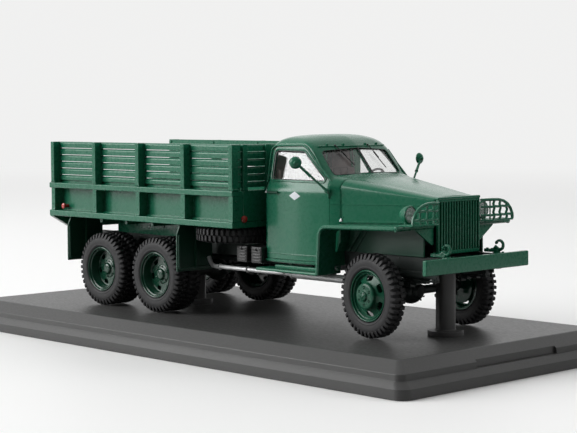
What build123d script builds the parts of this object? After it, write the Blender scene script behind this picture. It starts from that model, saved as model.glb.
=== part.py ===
"""Scale model of a three-axle military cargo truck on its display plinth.

Millimetres.  +X is the truck's front, +Y its left side, +Z up.  The origin is the middle
of the plinth's underside.  Truck sizes are written from the truck's own datum: x from the
front axle, z from the top of the plinth; the plane helpers below carry them over.
"""
from build123d import *
import math
import os

os.makedirs("parts", exist_ok=True)

# ---------------------------------------------------------------- driving dimensions
AXLE_X = 60.7            # front axle ahead of the plinth's middle
DECK_Z = 8.7             # plinth top above its underside

# plinth
DECK_L, DECK_W = 178.5, 79.6
BEVEL_L, BEVEL_W = 186.1, 87.2
BASE_L, BASE_W = 190.5, 90.4
BASE_Z, SLOPE_Z, GROOVE_Z = 2.7, 4.3, 5.9
CORNER_R = 3.2

# wheels
MIDDLE_X, REAR_X = -82.5, -108.4
TYRE_R, TYRE_W, TYRE_IN_R = 11.1, 4.4, 6.9
RIM_R, HUB_Z, HUB_Z_REAR = 6.85, 11.35, 11.25
FRONT_Y = -18.5          # middle plane of a front tyre, right side
STEER = 6.5              # the front wheels stand turned this many degrees to the truck's right
TWIN_OUT_Y, TWIN_IN_Y = -22.7, -17.7
STUB_R, BORE_R = 1.0, 1.05

# frame
RAIL_Y, RAIL_W, RAIL_Z0, RAIL_Z1 = 10.3, 1.8, 17.6, 21.6
RAIL_X0, RAIL_X1 = -129.0, 18.8
CROSS_X = [16.2, 9.1, -14.0, -46.0, -62.0, -78.0, -95.4, -112.0, -127.0]

# bed
BED_X0, BED_X1, BED_Y = -133.6, -46.4, 25.9
FLOOR_Z0, FLOOR_Z1, PANEL_Z1, RACK_Z0, RACK_Z1 = 26.8, 28.6, 37.3, 37.9, 50.2
BOARD_Z1 = 28.8
POST_X = [-131.7, -110.1, -88.9, -68.0, -47.25]     # middle of each stake
POST_W = 1.7
SLAT_W, SLAT_LAST, SLAT_PITCH, SLATS = 1.92, 1.6, 2.1, 6

# cab
CAB_X0, DOOR_X0, DOOR_X1, COWL_X = -41.6, -40.3, -17.9, -15.0
CAB_Y, CAB_Z0, BELT_Z, ROOF_Z = 18.0, 17.7, 38.2, 53.0
WALL = 0.9
SEAM = 0.05

# nose
NOSE_X, HOOD_Y0, HOOD_Y1 = 12.75, 15.05, 8.5
HOOD_T = 0.7
FENDER_Y, FENDER_T = 23.0, 0.8
GRILLE_Y, GRILLE_Z0, GRILLE_Z1 = 8.3, 22.1, 35.8


# ---------------------------------------------------------------- planes and small helpers
def side(y):
    """Side view: local x runs forward from the front axle, local y is height over the deck; normal to the right."""
    return Plane(origin=(AXLE_X, y, DECK_Z), x_dir=(1, 0, 0), z_dir=(0, -1, 0))


def plan(z):
    """Plan view at a height over the deck; normal up."""
    return Plane(origin=(AXLE_X, 0, DECK_Z + z), x_dir=(1, 0, 0), z_dir=(0, 0, 1))


def front(x):
    """Cross section at x from the front axle: local x is the truck's y; normal forward."""
    return Plane(origin=(AXLE_X + x, 0, DECK_Z), x_dir=(0, 1, 0), z_dir=(1, 0, 0))


def slab(x0, x1, y0, y1, z0, z1, mode=Mode.ADD):
    """Box between truck coordinates."""
    with BuildSketch(plan(z0)) as face:
        with Locations(((x0 + x1) / 2, (y0 + y1) / 2)):
            Rectangle(x1 - x0, y1 - y0)
    extrude(face.sketch, amount=z1 - z0, mode=mode)


def plate(plane, depth, points, both=False, mode=Mode.ADD):
    """Straight-edged outline pushed along its plane's normal."""
    with BuildSketch(plane) as face:
        with BuildLine():
            Polyline(*points, close=True)
        make_face()
    extrude(face.sketch, amount=depth, both=both, mode=mode)


def disc(plane, at, radius, depth, mode=Mode.ADD):
    """Cylinder standing on a plane at a local point."""
    with BuildSketch(plane) as face:
        with Locations(at):
            Circle(radius)
    extrude(face.sketch, amount=depth, mode=mode)


def rod(points, radius, mode=Mode.ADD):
    """Round bar along straight runs through truck points, with a ball at each inner corner."""
    real = [Vector(x + AXLE_X, y, z + DECK_Z) for x, y, z in points]
    for a, b in zip(real, real[1:]):
        with BuildSketch(Plane(origin=a, z_dir=b - a)) as ring:
            Circle(radius)
        extrude(ring.sketch, amount=(b - a).length, mode=mode)
    for p in real[1:-1]:
        with Locations(p):
            Sphere(radius, mode=mode)


def save(builder, name):
    builder.part.label = name
    export_step(builder.part, f"parts/{name}.step")


def wheel_plane(x, y, z, steer=0.0, outward=-1):
    """Plane through a wheel's middle that holds its axle: local x outward along the axle, local y up."""
    a = math.radians(steer)
    along = Vector(outward * math.sin(a), outward * math.cos(a), 0)
    return Plane(origin=(AXLE_X + x, y, DECK_Z + z), x_dir=along, z_dir=along.cross(Vector(0, 0, 1)))


# ---------------------------------------------------------------- plinth
with BuildPart() as plinth:
    with BuildSketch(Plane.XY):
        RectangleRounded(BASE_L, BASE_W, CORNER_R)
    extrude(amount=BASE_Z)
    # sloped ledge, then the upright rebate where a clear cover stands, then the broad bevel
    with BuildSketch(Plane.XY.offset(BASE_Z)):
        RectangleRounded(BASE_L, BASE_W, CORNER_R)
    with BuildSketch(Plane.XY.offset(SLOPE_Z)):
        RectangleRounded(BEVEL_L, BEVEL_W, CORNER_R - 1)
    loft()
    with BuildSketch(Plane.XY.offset(SLOPE_Z)):
        RectangleRounded(BEVEL_L, BEVEL_W, CORNER_R - 1)
    extrude(amount=GROOVE_Z - SLOPE_Z)
    with BuildSketch(Plane.XY.offset(GROOVE_Z)):
        RectangleRounded(BEVEL_L, BEVEL_W, CORNER_R - 1)
    with BuildSketch(Plane.XY.offset(DECK_Z)):
        RectangleRounded(DECK_L, DECK_W, 1.0)
    loft()
    # hollow underside in three steps: length, width, z0, z1
    for length, width, z0, z1 in ((186.5, 86.4, 0, 2.3), (182.0, 83.0, 2.3, 5.2), (174.5, 75.6, 5.2, 6.9)):
        with BuildSketch(Plane.XY.offset(z0)):
            Rectangle(length, width)
        extrude(amount=z1 - z0, mode=Mode.SUBTRACT)
    # finger notch in the bevel's lower edge, front end
    with BuildSketch(Plane.XY.offset(4.3)):
        with Locations((BEVEL_L / 2 + 0.4, 1.0)):
            Rectangle(2.0, 33.0)
    extrude(amount=3.0, mode=Mode.SUBTRACT)
    # screw bosses under the two posts
    for px in (9.1, -92.0):
        disc(plan(-7.7), (px, 0), 4.5, 6.0)
        disc(plan(-7.7), (px, 0), 3.1, 4.0, mode=Mode.SUBTRACT)
        disc(plan(-8.7), (px, 0), 1.55, 8.7, mode=Mode.SUBTRACT)
save(plinth, "plinth")

POST_AT = ((9.1, 17.6), (-92.0, 16.9))     # x, height of the top
with BuildPart() as support_posts:
    for px, top in POST_AT:
        disc(plan(0), (px, 0), 4.8, 1.4)
        disc(plan(1.4), (px, 0), 2.65, top - 1.4)
        disc(plan(0), (px, 0), 1.2, 9.0, mode=Mode.SUBTRACT)
save(support_posts, "support_posts")

with BuildPart() as plinth_screws:
    for px, top in POST_AT:
        disc(plan(-5.5), (px, 0), 2.8, 1.8)
        disc(plan(-3.7), (px, 0), 1.15, 12.0)
        with BuildSketch(plan(-5.5)) as cross:
            with Locations((px, 0)):
                Rectangle(3.2, 0.7)
                Rectangle(0.7, 3.2)
        extrude(cross.sketch, amount=0.9, mode=Mode.SUBTRACT)
save(plinth_screws, "plinth_screws")

# ---------------------------------------------------------------- frame
with BuildPart() as frame:
    for s in (-1, 1):
        slab(RAIL_X0, RAIL_X1, s * RAIL_Y - RAIL_W / 2, s * RAIL_Y + RAIL_W / 2, RAIL_Z0, RAIL_Z1)
        slab(RAIL_X0 + 2, RAIL_X1 - 2, s * (RAIL_Y - 0.45) - RAIL_W / 4, s * (RAIL_Y - 0.45) + RAIL_W / 4,
             RAIL_Z0 + 0.7, RAIL_Z1 - 0.7, mode=Mode.SUBTRACT)
    for cx in CROSS_X:
        slab(cx - 1.2, cx + 1.2, -RAIL_Y + 0.3, RAIL_Y - 0.3, RAIL_Z0, RAIL_Z1 - 0.6)
    # pad that the rear post is screwed to
    slab(-95.5, -88.5, -RAIL_Y + 0.3, RAIL_Y - 0.3, 16.9, 18.2)
save(frame, "frame")

with BuildPart() as front_bumper:
    slab(18.8, 20.2, -21.1, 21.1, 17.9, 21.9)
    for s in (-1, 1):     # brackets that carry it off the rails
        slab(17.2, 18.8, s * 10.3 - 0.9, s * 10.3 + 0.9, 21.6, 21.9)
save(front_bumper, "front_bumper")

with BuildPart() as tow_hooks:
    for s in (-1, 1):
        y = s * 10.8
        slab(13.5, 18.4, y - 0.55, y + 0.55, 21.9, 22.7)
        with BuildSketch(side(y)) as hook:
            with Locations((18.5, 23.8)):
                Circle(1.6)
                Circle(0.8, mode=Mode.SUBTRACT)
            with Locations((17.2, 23.6)):
                Rectangle(1.8, 0.9, mode=Mode.SUBTRACT)
        extrude(hook.sketch, amount=0.45, both=True)
save(tow_hooks, "tow_hooks")

# ---------------------------------------------------------------- running gear
with BuildPart() as leaf_springs:
    # middle x, outer y, z of the main leaf, half length
    for mx, my, mz, half in ((0.0, 10.3, 15.6, 15.0), (-95.4, 12.3, 16.2, 12.9)):
        for s in (-1, 1):
            for n in range(4):
                slab(mx - half + 3.2 * n, mx + half - 3.2 * n, s * my - 0.9, s * my + 0.9,
                     mz - 0.5 * (n + 1), mz - 0.5 * n)
            if mx == 0.0:
                for ex in (-half, half - 1.2):     # shackles up to the rail
                    slab(mx + ex, mx + ex + 1.2, s * my - 0.8, s * my + 0.8, mz, RAIL_Z0)
            else:                                  # trunnion under the rail
                slab(mx - 2.2, mx + 2.2, s * my - 0.9, s * my + 0.9, mz, 17.6)
                slab(mx - 2.2, mx + 2.2, s * 11.3, s * my + s * 0.9, 17.6, 20.0) if s > 0 else \
                    slab(mx - 2.2, mx + 2.2, -my - 0.9, -11.3, 17.6, 20.0)
save(leaf_springs, "leaf_springs")


def axle(builder_x, hub_z, tube_r, tube_end, diff_y, diff_r, reach):
    """Tube between the wheels, banjo housing and a stub shaft at each end."""
    with BuildSketch(side(tube_end)) as tube:
        with Locations((builder_x, hub_z)):
            Circle(tube_r)
    extrude(tube.sketch, amount=2 * tube_end)
    if reach:
        with BuildSketch(side(reach)) as stub:
            with Locations((builder_x, hub_z)):
                Circle(STUB_R)
        extrude(stub.sketch, amount=2 * reach)
    with Locations((AXLE_X + builder_x, diff_y, DECK_Z + hub_z)):
        Sphere(diff_r)


with BuildPart() as front_axle:
    axle(0.0, HUB_Z, 1.15, 14.9, -3.6, 3.4, 0)
    for s in (-1, 1):
        with Locations((AXLE_X, s * 14.3, DECK_Z + HUB_Z)):
            Sphere(1.7)                                  # knuckle
        hub_plane = wheel_plane(0.0, s * -FRONT_Y, HUB_Z, STEER, s)
        a = math.radians(STEER)
        with BuildSketch(Plane(origin=hub_plane.origin - 4.6 * hub_plane.x_dir, z_dir=hub_plane.x_dir)) as stub:
            Circle(STUB_R)
        extrude(stub.sketch, amount=4.5)
        slab(-1.4, 1.4, s * 10.3 - 0.9, s * 10.3 + 0.9, HUB_Z, 13.6)      # spring seat
    rod(((-3.2, -13.0, 10.6), (-3.2, 13.0, 10.6)), 0.45)  # tie rod
    for s in (-1, 1):
        slab(-3.4, 0, s * 13.0 - 0.4, s * 13.0 + 0.4, 10.2, 11.0)
save(front_axle, "front_axle")

with BuildPart() as middle_axle:
    axle(MIDDLE_X, HUB_Z_REAR, 1.3, 17.2, 0.0, 3.4, 21.4)
    for s in (-1, 1):
        slab(MIDDLE_X - 1.4, MIDDLE_X + 1.4, s * 12.3 - 0.9, s * 12.3 + 0.9, HUB_Z_REAR, 15.7)
save(middle_axle, "middle_axle")

with BuildPart() as rear_axle:
    axle(REAR_X, HUB_Z_REAR, 1.3, 17.2, 0.0, 3.4, 21.4)
    for s in (-1, 1):
        slab(REAR_X - 1.4, REAR_X + 1.4, s * 12.3 - 0.9, s * 12.3 + 0.9, HUB_Z_REAR, 15.7)
save(rear_axle, "rear_axle")

with BuildPart() as transfer_case:
    slab(-43.0, -36.0, -5.0, 5.0, 11.6, 19.5)
    slab(-44.7, -34.0, -9.3, 9.3, 19.0, 20.2)
    slab(-36.0, -15.3, -3.0, 3.0, 15.0, 20.8)
save(transfer_case, "transfer_case")

with BuildPart() as driveshafts:
    rod(((-35.9, -3.6, 13.0), (-3.5, -3.6, 11.9)), 0.75)
    rod(((-43.1, 1.5, 13.5), (-79.0, 1.0, 12.2)), 0.75)
    rod(((-43.1, -2.6, 15.8), (-80.0, -6.0, 15.9), (-97.0, -6.0, 15.4), (-104.9, -2.2, 13.0)), 0.75)
save(driveshafts, "driveshafts")

with BuildPart() as engine:
    slab(-11.0, 7.5, -4.6, 4.6, 19.4, 35.0)
    slab(-11.0, 5.0, -3.0, 3.0, 17.0, 19.4)
save(engine, "engine")

with BuildPart() as exhaust_pipe:
    rod(((-13.0, -15.0, 14.3), (-33.5, -15.0, 14.3)), 0.75)
    rod(((-33.5, -15.0, 14.3), (-67.2, -15.0, 14.3), (-69.0, -15.0, 17.0)), 0.4)
save(exhaust_pipe, "exhaust_pipe")

# ---------------------------------------------------------------- wheels
# tyre section, local x outward along the axle from the tyre's middle, local y radius
TYRE_ROWS = [(-1.6, TYRE_IN_R), (-2.2, 7.7), (-2.2, 9.4), (-1.75, 10.6), (-1.45, TYRE_R),
             (1.45, TYRE_R), (1.75, 10.6), (2.2, 9.4), (2.2, 7.7), (1.6, TYRE_IN_R)]
# rim sections: outward is positive
RIM_FRONT = [(-1.9, 6.1), (-1.9, RIM_R), (1.9, RIM_R), (1.9, 6.1), (1.0, 5.7), (0.8, 5.2), (1.9, 3.1),
             (2.5, 2.8), (3.2, 2.7), (3.2, 0), (0.4, 0), (0.4, BORE_R), (-1.6, BORE_R), (-1.6, 2.6), (0.4, 2.9), (-0.3, 5.2), (-0.3, 6.1)]
RIM_TWIN = [(-1.9, 6.1), (-1.9, RIM_R), (1.9, RIM_R), (1.9, 6.1), (-1.0, 5.3), (-1.2, 3.0), (-1.9, 3.0)]


def spun(y_mid, outward, x, z, rows, steer=0.0):
    """Revolve a section about the axle at x, z; outward is -1 on the right side, +1 on the left."""
    plane = wheel_plane(x, y_mid, z, steer, outward)
    with BuildSketch(plane) as section:
        with BuildLine():
            Polyline(*rows, close=True)
        make_face()
    revolve(section.sketch, axis=Axis(plane.origin, plane.x_dir))


# corner, outward side, x of the axle, hub height
WHEELS = [("front_right", -1, 0.0, HUB_Z), ("front_left", 1, 0.0, HUB_Z),
          ("middle_right", -1, MIDDLE_X, HUB_Z_REAR), ("middle_left", 1, MIDDLE_X, HUB_Z_REAR),
          ("rear_right", -1, REAR_X, HUB_Z_REAR), ("rear_left", 1, REAR_X, HUB_Z_REAR)]
for corner, out, wx, wz in WHEELS:
    twin = not corner.startswith("front")
    mids = (TWIN_OUT_Y, TWIN_IN_Y) if twin else (FRONT_Y,)
    with BuildPart() as tyre:
        for mid in mids:
            spun(-out * mid, out, wx, wz, TYRE_ROWS, 0.0 if twin else STEER)
    save(tyre, corner + "_tyre")
    with BuildPart() as rim:
        if twin:
            # two dished rims back to back on one hub drum
            spun(-out * TWIN_OUT_Y, out, wx, wz, RIM_TWIN)
            spun(-out * TWIN_IN_Y, -out, wx, wz, RIM_TWIN)
            spun(0, out, wx, wz, [(17.8, BORE_R), (17.8, 3.2), (21.4, 3.2), (21.9, 2.7), (22.1, 1.6), (22.8, 1.4), (22.8, 0),
                                  (21.6, 0), (21.6, BORE_R)])
        else:
            spun(-out * FRONT_Y, out, wx, wz, RIM_FRONT, STEER)
            # six round holes through the disc
            mid_plane = wheel_plane(wx, -out * FRONT_Y, wz, STEER, out)
            face = Plane(origin=mid_plane.origin - 2.5 * mid_plane.x_dir, x_dir=(0, 0, 1), z_dir=mid_plane.x_dir)
            with BuildSketch(face) as holes:
                with PolarLocations(4.35, 6):
                    Circle(0.75)
            extrude(holes.sketch, amount=5.5, mode=Mode.SUBTRACT)
    save(rim, corner + "_rim")

# spare, lying flat under the front of the bed
SPARE_X, SPARE_Y, SPARE_Z = -58.9, -13.9, 24.3
with BuildPart() as spare_tyre:
    with BuildSketch(Plane(origin=(AXLE_X + SPARE_X, SPARE_Y, DECK_Z + SPARE_Z), x_dir=(0, 0, 1), z_dir=(0, -1, 0))) as s1:
        with BuildLine():
            Polyline(*TYRE_ROWS, close=True)
        make_face()
    revolve(s1.sketch, axis=Axis((AXLE_X + SPARE_X, SPARE_Y, DECK_Z + SPARE_Z), (0, 0, 1)))
save(spare_tyre, "spare_tyre")

with BuildPart() as spare_rim:
    with BuildSketch(plan(SPARE_Z - 1.6)):
        with Locations((SPARE_X, SPARE_Y)):
            Circle(RIM_R)
            Circle(5.5, mode=Mode.SUBTRACT)
    extrude(amount=3.2)
    with BuildSketch(plan(SPARE_Z - 0.4)):
        with Locations((SPARE_X, SPARE_Y)):
            Circle(5.7)
            Circle(1.6, mode=Mode.SUBTRACT)
    extrude(amount=0.8)
save(spare_rim, "spare_rim")

# ---------------------------------------------------------------- cargo bed
with BuildPart() as cargo_floor:
    slab(BED_X0, BED_X1, -BED_Y, BED_Y, FLOOR_Z0, FLOOR_Z1)
    slab(-132.0, -47.5, -21.6, 21.6, FLOOR_Z1, BOARD_Z1)     # boards between the panels
    for s in (-1, 1):                     # long sills on the frame, behind the spare
        slab(-117.0, -71.5, s * 10.3 - 1.1, s * 10.3 + 1.1, RAIL_Z1, FLOOR_Z0)
    for cx in (-113.0, -100.5, -88.0, -75.5):
        slab(cx - 0.6, cx + 0.6, -21.0, 21.0, 25.2, FLOOR_Z0)
    plate(front(-133.2), 1.8, [(-25.9, 26.8), (-18.8, 22.7), (18.8, 22.7), (25.9, 26.8)])
    slab(-47.6, -46.4, -12.0, 12.0, RAIL_Z1, FLOOR_Z0)
save(cargo_floor, "cargo_floor")

SIDE_IN, SIDE_OUT = 21.7, 22.7
for name, s in (("right", -1), ("left", 1)):
    with BuildPart() as side_panel:
        def lane(x0, x1, inner, outer, z0, z1):
            slab(x0, x1, min(s * inner, s * outer), max(s * inner, s * outer), z0, z1)
        lane(BED_X0, BED_X1, SIDE_IN, SIDE_OUT, FLOOR_Z1, PANEL_Z1)
        lane(BED_X0, BED_X1, SIDE_OUT, BED_Y, 35.6, PANEL_Z1)
        for px in POST_X:                 # stake pockets
            lane(max(px - 0.95, BED_X0), min(px + 0.95, BED_X1), SIDE_OUT, BED_Y - 0.1, FLOOR_Z1, 35.6)
    save(side_panel, name + "_side_panel")
    with BuildPart() as rack:
        for px in POST_X:
            lane(px - POST_W / 2, px + POST_W / 2, 23.5, BED_Y, PANEL_Z1, RACK_Z1)
        for k in range(SLATS):
            top = RACK_Z1 - SLAT_PITCH * k
            lane(-132.5, -46.5, 22.7, 23.6, top - (SLAT_W if k < SLATS - 1 else SLAT_LAST), top)
    save(rack, name + "_rack")

with BuildPart() as headboard:
    slab(-47.4, -46.5, -SIDE_IN, SIDE_IN, FLOOR_Z1, PANEL_Z1)
save(headboard, "headboard")

with BuildPart() as tailgate:
    slab(-133.5, -132.6, -SIDE_IN, SIDE_IN, FLOOR_Z1, PANEL_Z1)
    for ty in (-14.0, 0.0, 14.0):
        slab(-132.7, -132.1, ty - 0.7, ty + 0.7, FLOOR_Z1, PANEL_Z1)
save(tailgate, "tailgate")

with BuildPart() as front_rack:
    for ty in (-20.8, -11.8, 0.0, 11.8, 20.8):
        slab(-47.4, -46.5, ty - 0.9, ty + 0.9, PANEL_Z1, RACK_Z1)
    for k in range(SLATS):
        top = RACK_Z1 - SLAT_PITCH * k
        slab(-48.2, -47.4, -22.6, 22.6, top - (SLAT_W if k < SLATS - 1 else SLAT_LAST), top)
save(front_rack, "front_rack")

with BuildPart() as mud_guards:
    for gx in (-70.9, -124.1):
        for s in (-1, 1):
            plate(front(gx), 0.6, [(s * 12.5, 13.1), (s * 26.0, 13.1), (s * 26.0, 24.1), (s * 24.8, 26.8), (s * 12.5, 26.8)])
save(mud_guards, "mud_guards")

with BuildPart() as reflectors:
    # one facing forward beside the headboard, one facing outward ahead of the last stake pocket
    for s in (-1, 1):
        disc(front(BED_X1), (s * 21.6, 29.3), 1.0, 0.7)
        disc(side(s * 22.7), (-127.9, 29.9), 0.9, 2.2 if s < 0 else -2.2)
save(reflectors, "reflectors")

with BuildPart() as tool_boxes:
    for x0, x1 in ((-51.8, -47.6), (-45.8, -41.6)):
        slab(x0, x1, -19.5, -11.8, 16.9, 21.6)
save(tool_boxes, "tool_boxes")

with BuildPart() as fuel_tank:
    with BuildSketch(side(21.0)) as tank:
        with Locations((-53.0, 18.0)):
            RectangleRounded(18.0, 7.4, 2.4)
    extrude(tank.sketch, amount=8.6)
save(fuel_tank, "fuel_tank")


# ---------------------------------------------------------------- cab
def cab_form(d):
    """Closed outer shape of the cab, shrunk by d on every wall."""
    # side outline: back wall, roof, raked windscreen, cowl, toe board
    with BuildSketch(side(-CAB_Y)) as view:
        with BuildLine():
            l1 = Line((CAB_X0 + d, CAB_Z0), (CAB_X0 + d, 48.6))
            l2 = ThreePointArc(l1 @ 1, (-39.9 + d * 0.7, 51.6 - d * 0.7), (-35.8, ROOF_Z - 0.2 - d))
            l3 = ThreePointArc(l2 @ 1, (-31.2, ROOF_Z - d), (-26.9, 52.3 - d))
            l4 = ThreePointArc(l3 @ 1, (-24.7 - d * 0.7, 51.1 - d * 0.7), (-23.2 - d, 49.5))
            l5 = Line(l4 @ 1, (-17.0 - d, 42.2 - d * 0.4))
            l6 = Line(l5 @ 1, (COWL_X - d, 41.2 - d))
            l7 = Line(l6 @ 1, (COWL_X - d, 29.2))
            l8 = Line(l7 @ 1, (-17.6 - d, 21.5))
            l9 = Line(l8 @ 1, (-17.6 - d, CAB_Z0))
            Line(l9 @ 1, l1 @ 0)
        make_face()
    extrude(view.sketch, amount=-2 * CAB_Y)
    # plan outline: doors bulge, cowl draws in to the hood
    with BuildSketch(plan(CAB_Z0)) as view:
        with BuildLine():
            r1 = Line((CAB_X0 + d, -15.2), (CAB_X0 + d, 15.2))
            r2 = ThreePointArc(r1 @ 1, (-40.8 + d * 0.7, 17.0 - d * 0.5), (-39.2, 17.7 - d))
            r3 = ThreePointArc(r2 @ 1, (-30.5, CAB_Y - d), (DOOR_X1, 16.3 - d))
            r4 = Line(r3 @ 1, (COWL_X, HOOD_Y0 - d))
            r5 = Line(r4 @ 1, (COWL_X, -HOOD_Y0 + d))
            r6 = Line(r5 @ 1, (DOOR_X1, -16.3 + d))
            r7 = ThreePointArc(r6 @ 1, (-30.5, -CAB_Y + d), (-39.2, -17.7 + d))
            ThreePointArc(r7 @ 1, (-40.8 + d * 0.7, -17.0 + d * 0.5), r1 @ 0)
        make_face()
    extrude(view.sketch, amount=ROOF_Z - CAB_Z0, mode=Mode.INTERSECT)
    # end outline: tumblehome over the belt and a crowned roof
    with BuildSketch(front(CAB_X0)) as view:
        with BuildLine():
            e1 = Line((-CAB_Y + d, CAB_Z0), (-CAB_Y + d, 37.6))
            e2 = ThreePointArc(e1 @ 1, (-17.75 + d, 38.9), (-17.0 + d, 39.9))
            e3 = Line(e2 @ 1, (-15.4 + d, 48.8))
            e4 = ThreePointArc(e3 @ 1, (-13.5 + d * 0.7, 51.4 - d * 0.7), (-9.5, 52.5 - d))
            e5 = ThreePointArc(e4 @ 1, (0, ROOF_Z - d), (9.5, 52.5 - d))
            e6 = ThreePointArc(e5 @ 1, (13.5 - d * 0.7, 51.4 - d * 0.7), (15.4 - d, 48.8))
            e7 = Line(e6 @ 1, (17.0 - d, 39.9))
            e8 = ThreePointArc(e7 @ 1, (17.75 - d, 38.9), (CAB_Y - d, 37.6))
            e9 = Line(e8 @ 1, (CAB_Y - d, CAB_Z0))
            Line(e9 @ 1, e1 @ 0)
        make_face()
    extrude(view.sketch, amount=COWL_X - CAB_X0, mode=Mode.INTERSECT)


with BuildPart() as cab_outer:
    cab_form(0)
with BuildPart() as cab_inner:
    cab_form(WALL)
with BuildPart() as glass_outer:
    cab_form(WALL + 0.03)
with BuildPart() as glass_inner:
    cab_form(WALL + 0.38)

# local x, z of the door's outline and of its window, in side view
DOOR = [(DOOR_X0, 18.6), (DOOR_X0, 49.2), (-38.9, 49.8), (-28.0, 49.8), (-26.2, 48.9), (DOOR_X1, 38.6), (DOOR_X1, 18.6)]
SIDE_WINDOW = [(-39.0, 40.9), (-38.8, 48.3), (-28.2, 48.3), (-26.4, 47.2), (-20.4, 40.9)]
GROW = 0.35


def windows(grow):
    """Prisms of the five window openings."""
    for s in (-1, 1):
        with BuildSketch(side(s * 12.0)) as hole:
            with BuildLine():
                Polyline(*SIDE_WINDOW, close=True)
            make_face()
            fillet(hole.vertices(), 0.9)
            if grow:
                offset(amount=grow)
        extrude(hole.sketch, amount=-s * 7.0)
    for s in (-1, 1):       # windscreen halves, through the raked face
        with BuildSketch(front(-27.5)) as hole:
            with BuildLine():
                Polyline((s * 0.3, 42.9), (s * 12.9, 42.3), (s * 12.3, 48.4), (s * 0.3, 49.1), close=True)
            make_face()
            fillet(hole.vertices(), 0.6)
            if grow:
                offset(amount=grow * 0.4)
        extrude(hole.sketch, amount=14.0)
    with BuildSketch(front(CAB_X0 - 1)) as hole:
        with Locations((0, 45.6)):
            RectangleRounded(14.0 + 2 * grow, 4.6 + 2 * grow, 0.9)
    extrude(hole.sketch, amount=3.5)


with BuildPart() as openings:
    windows(0)
with BuildPart() as openings_wide:
    windows(GROW)
with BuildPart() as doorways:
    for s in (-1, 1):
        plate(side(s * 13.0), -s * 8.0, DOOR)
with BuildPart() as door_blanks:
    for s in (-1, 1):
        with BuildSketch(side(s * 13.0)) as blank:
            with BuildLine():
                Polyline(*DOOR, close=True)
            make_face()
            offset(amount=-SEAM)
        extrude(blank.sketch, amount=-s * 8.0)

with BuildPart() as cab_shell:
    add(cab_outer.part)
    add(cab_inner.part, mode=Mode.SUBTRACT)
    add(doorways.part, mode=Mode.SUBTRACT)
    add(openings.part, mode=Mode.SUBTRACT)
    slab(-42.5, -14.0, -12.4, 12.4, 17.0, 21.65, mode=Mode.SUBTRACT)      # straddles the frame rails
save(cab_shell, "cab_shell")

for name, s in (("right", -1), ("left", 1)):
    with BuildPart() as door:
        add(cab_outer.part)
        add(cab_inner.part, mode=Mode.SUBTRACT)
        add(openings.part, mode=Mode.SUBTRACT)
        add(door_blanks.part, mode=Mode.INTERSECT)
        slab(-60, 0, min(0, -s * 30), max(0, -s * 30), 0, 60, mode=Mode.SUBTRACT)
    save(door, name + "_door")

with BuildPart() as cab_glass:
    add(glass_outer.part)
    add(glass_inner.part, mode=Mode.SUBTRACT)
    add(openings_wide.part, mode=Mode.INTERSECT)
save(cab_glass, "cab_glass")

with BuildPart() as cab_floor:
    plate(plan(21.7), 0.7, [(-40.65, -15.2), (-40.0, -16.2), (-30.0, -16.9), (-18.6, -15.3),
                            (-18.6, 15.3), (-30.0, 16.9), (-40.0, 16.2), (-40.65, 15.2)])
    slab(-30.0, -18.6, -3.2, 3.2, 22.4, 24.4)
save(cab_floor, "cab_floor")

with BuildPart() as seat:
    slab(-39.8, -30.5, -15.4, 15.4, 26.2, 30.6)
    slab(-38.0, -32.0, -14.4, 14.4, 22.45, 26.2)
    plate(side(15.0), 30.0, [(-40.3, 30.6), (-37.2, 30.6), (-38.7, 40.6), (-40.3, 40.6)])
save(seat, "seat")

with BuildPart() as dashboard:
    plate(side(13.8), 27.6, [(-16.4, 33.6), (-18.6, 34.2), (-19.6, 38.6), (-18.0, 40.6), (-16.4, 40.6)])
save(dashboard, "dashboard")

with BuildPart() as steering_wheel:
    with Locations(Location((AXLE_X - 24.8, 8.2, DECK_Z + 39.4), (0, -62, 0))):
        Torus(4.2, 0.32)
        Cylinder(0.9, 0.7)
        Box(8.4, 0.45, 0.4)
        Box(0.45, 8.4, 0.4)
    rod(((-24.8, 8.2, 39.4), (-18.9, 8.2, 28.3)), 0.45)
save(steering_wheel, "steering_wheel")

# ---------------------------------------------------------------- nose
def hood_section(x, half, crease, top, mid, base):
    """One cross section of the hood: upright sides, a turned shoulder and a crowned top."""
    with BuildSketch(front(x)) as cut:
        with BuildLine():
            h1 = Line((-half, base), (-half, crease))
            h2 = ThreePointArc(h1 @ 1, (-half * 0.93, (crease + top) / 2 + 0.35), (-half * 0.72, top))
            h3 = ThreePointArc(h2 @ 1, (0, mid), (half * 0.72, top))
            h4 = ThreePointArc(h3 @ 1, (half * 0.93, (crease + top) / 2 + 0.35), (half, crease))
            h5 = Line(h4 @ 1, (half, base))
            Line(h5 @ 1, h1 @ 0)
        make_face()
    return cut.sketch


with BuildPart() as hood:
    loft([hood_section(COWL_X + 0.03, HOOD_Y0, 38.8, 41.0, 42.0, 29.3),
          hood_section(NOSE_X, HOOD_Y1, 36.3, 36.8, 37.1, 29.95)])
    loft([hood_section(COWL_X - 0.5, HOOD_Y0 - HOOD_T, 38.8 - HOOD_T, 41.0 - HOOD_T, 42.0 - HOOD_T, 29.0),
          hood_section(NOSE_X + 0.5, HOOD_Y1 - HOOD_T, 36.3 - HOOD_T, 36.8 - HOOD_T, 37.1 - HOOD_T, 29.5)],
         mode=Mode.SUBTRACT)
save(hood, "hood")

with BuildPart() as radiator:
    slab(10.9, 12.5, -7.4, 7.4, 21.8, 35.2)
save(radiator, "radiator")

with BuildPart() as grille:
    slab(12.8, 13.7, -GRILLE_Y, GRILLE_Y, GRILLE_Z0, GRILLE_Z1)
    pitch = (2 * GRILLE_Y - 0.6) / 15
    for k in range(15):
        gy = -GRILLE_Y + 0.3 + pitch * (k + 0.5)
        slab(12.8, 13.7, gy - 0.27, gy + 0.27, GRILLE_Z0 + 0.9, GRILLE_Z1 - 0.6, mode=Mode.SUBTRACT)
save(grille, "grille")


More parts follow.
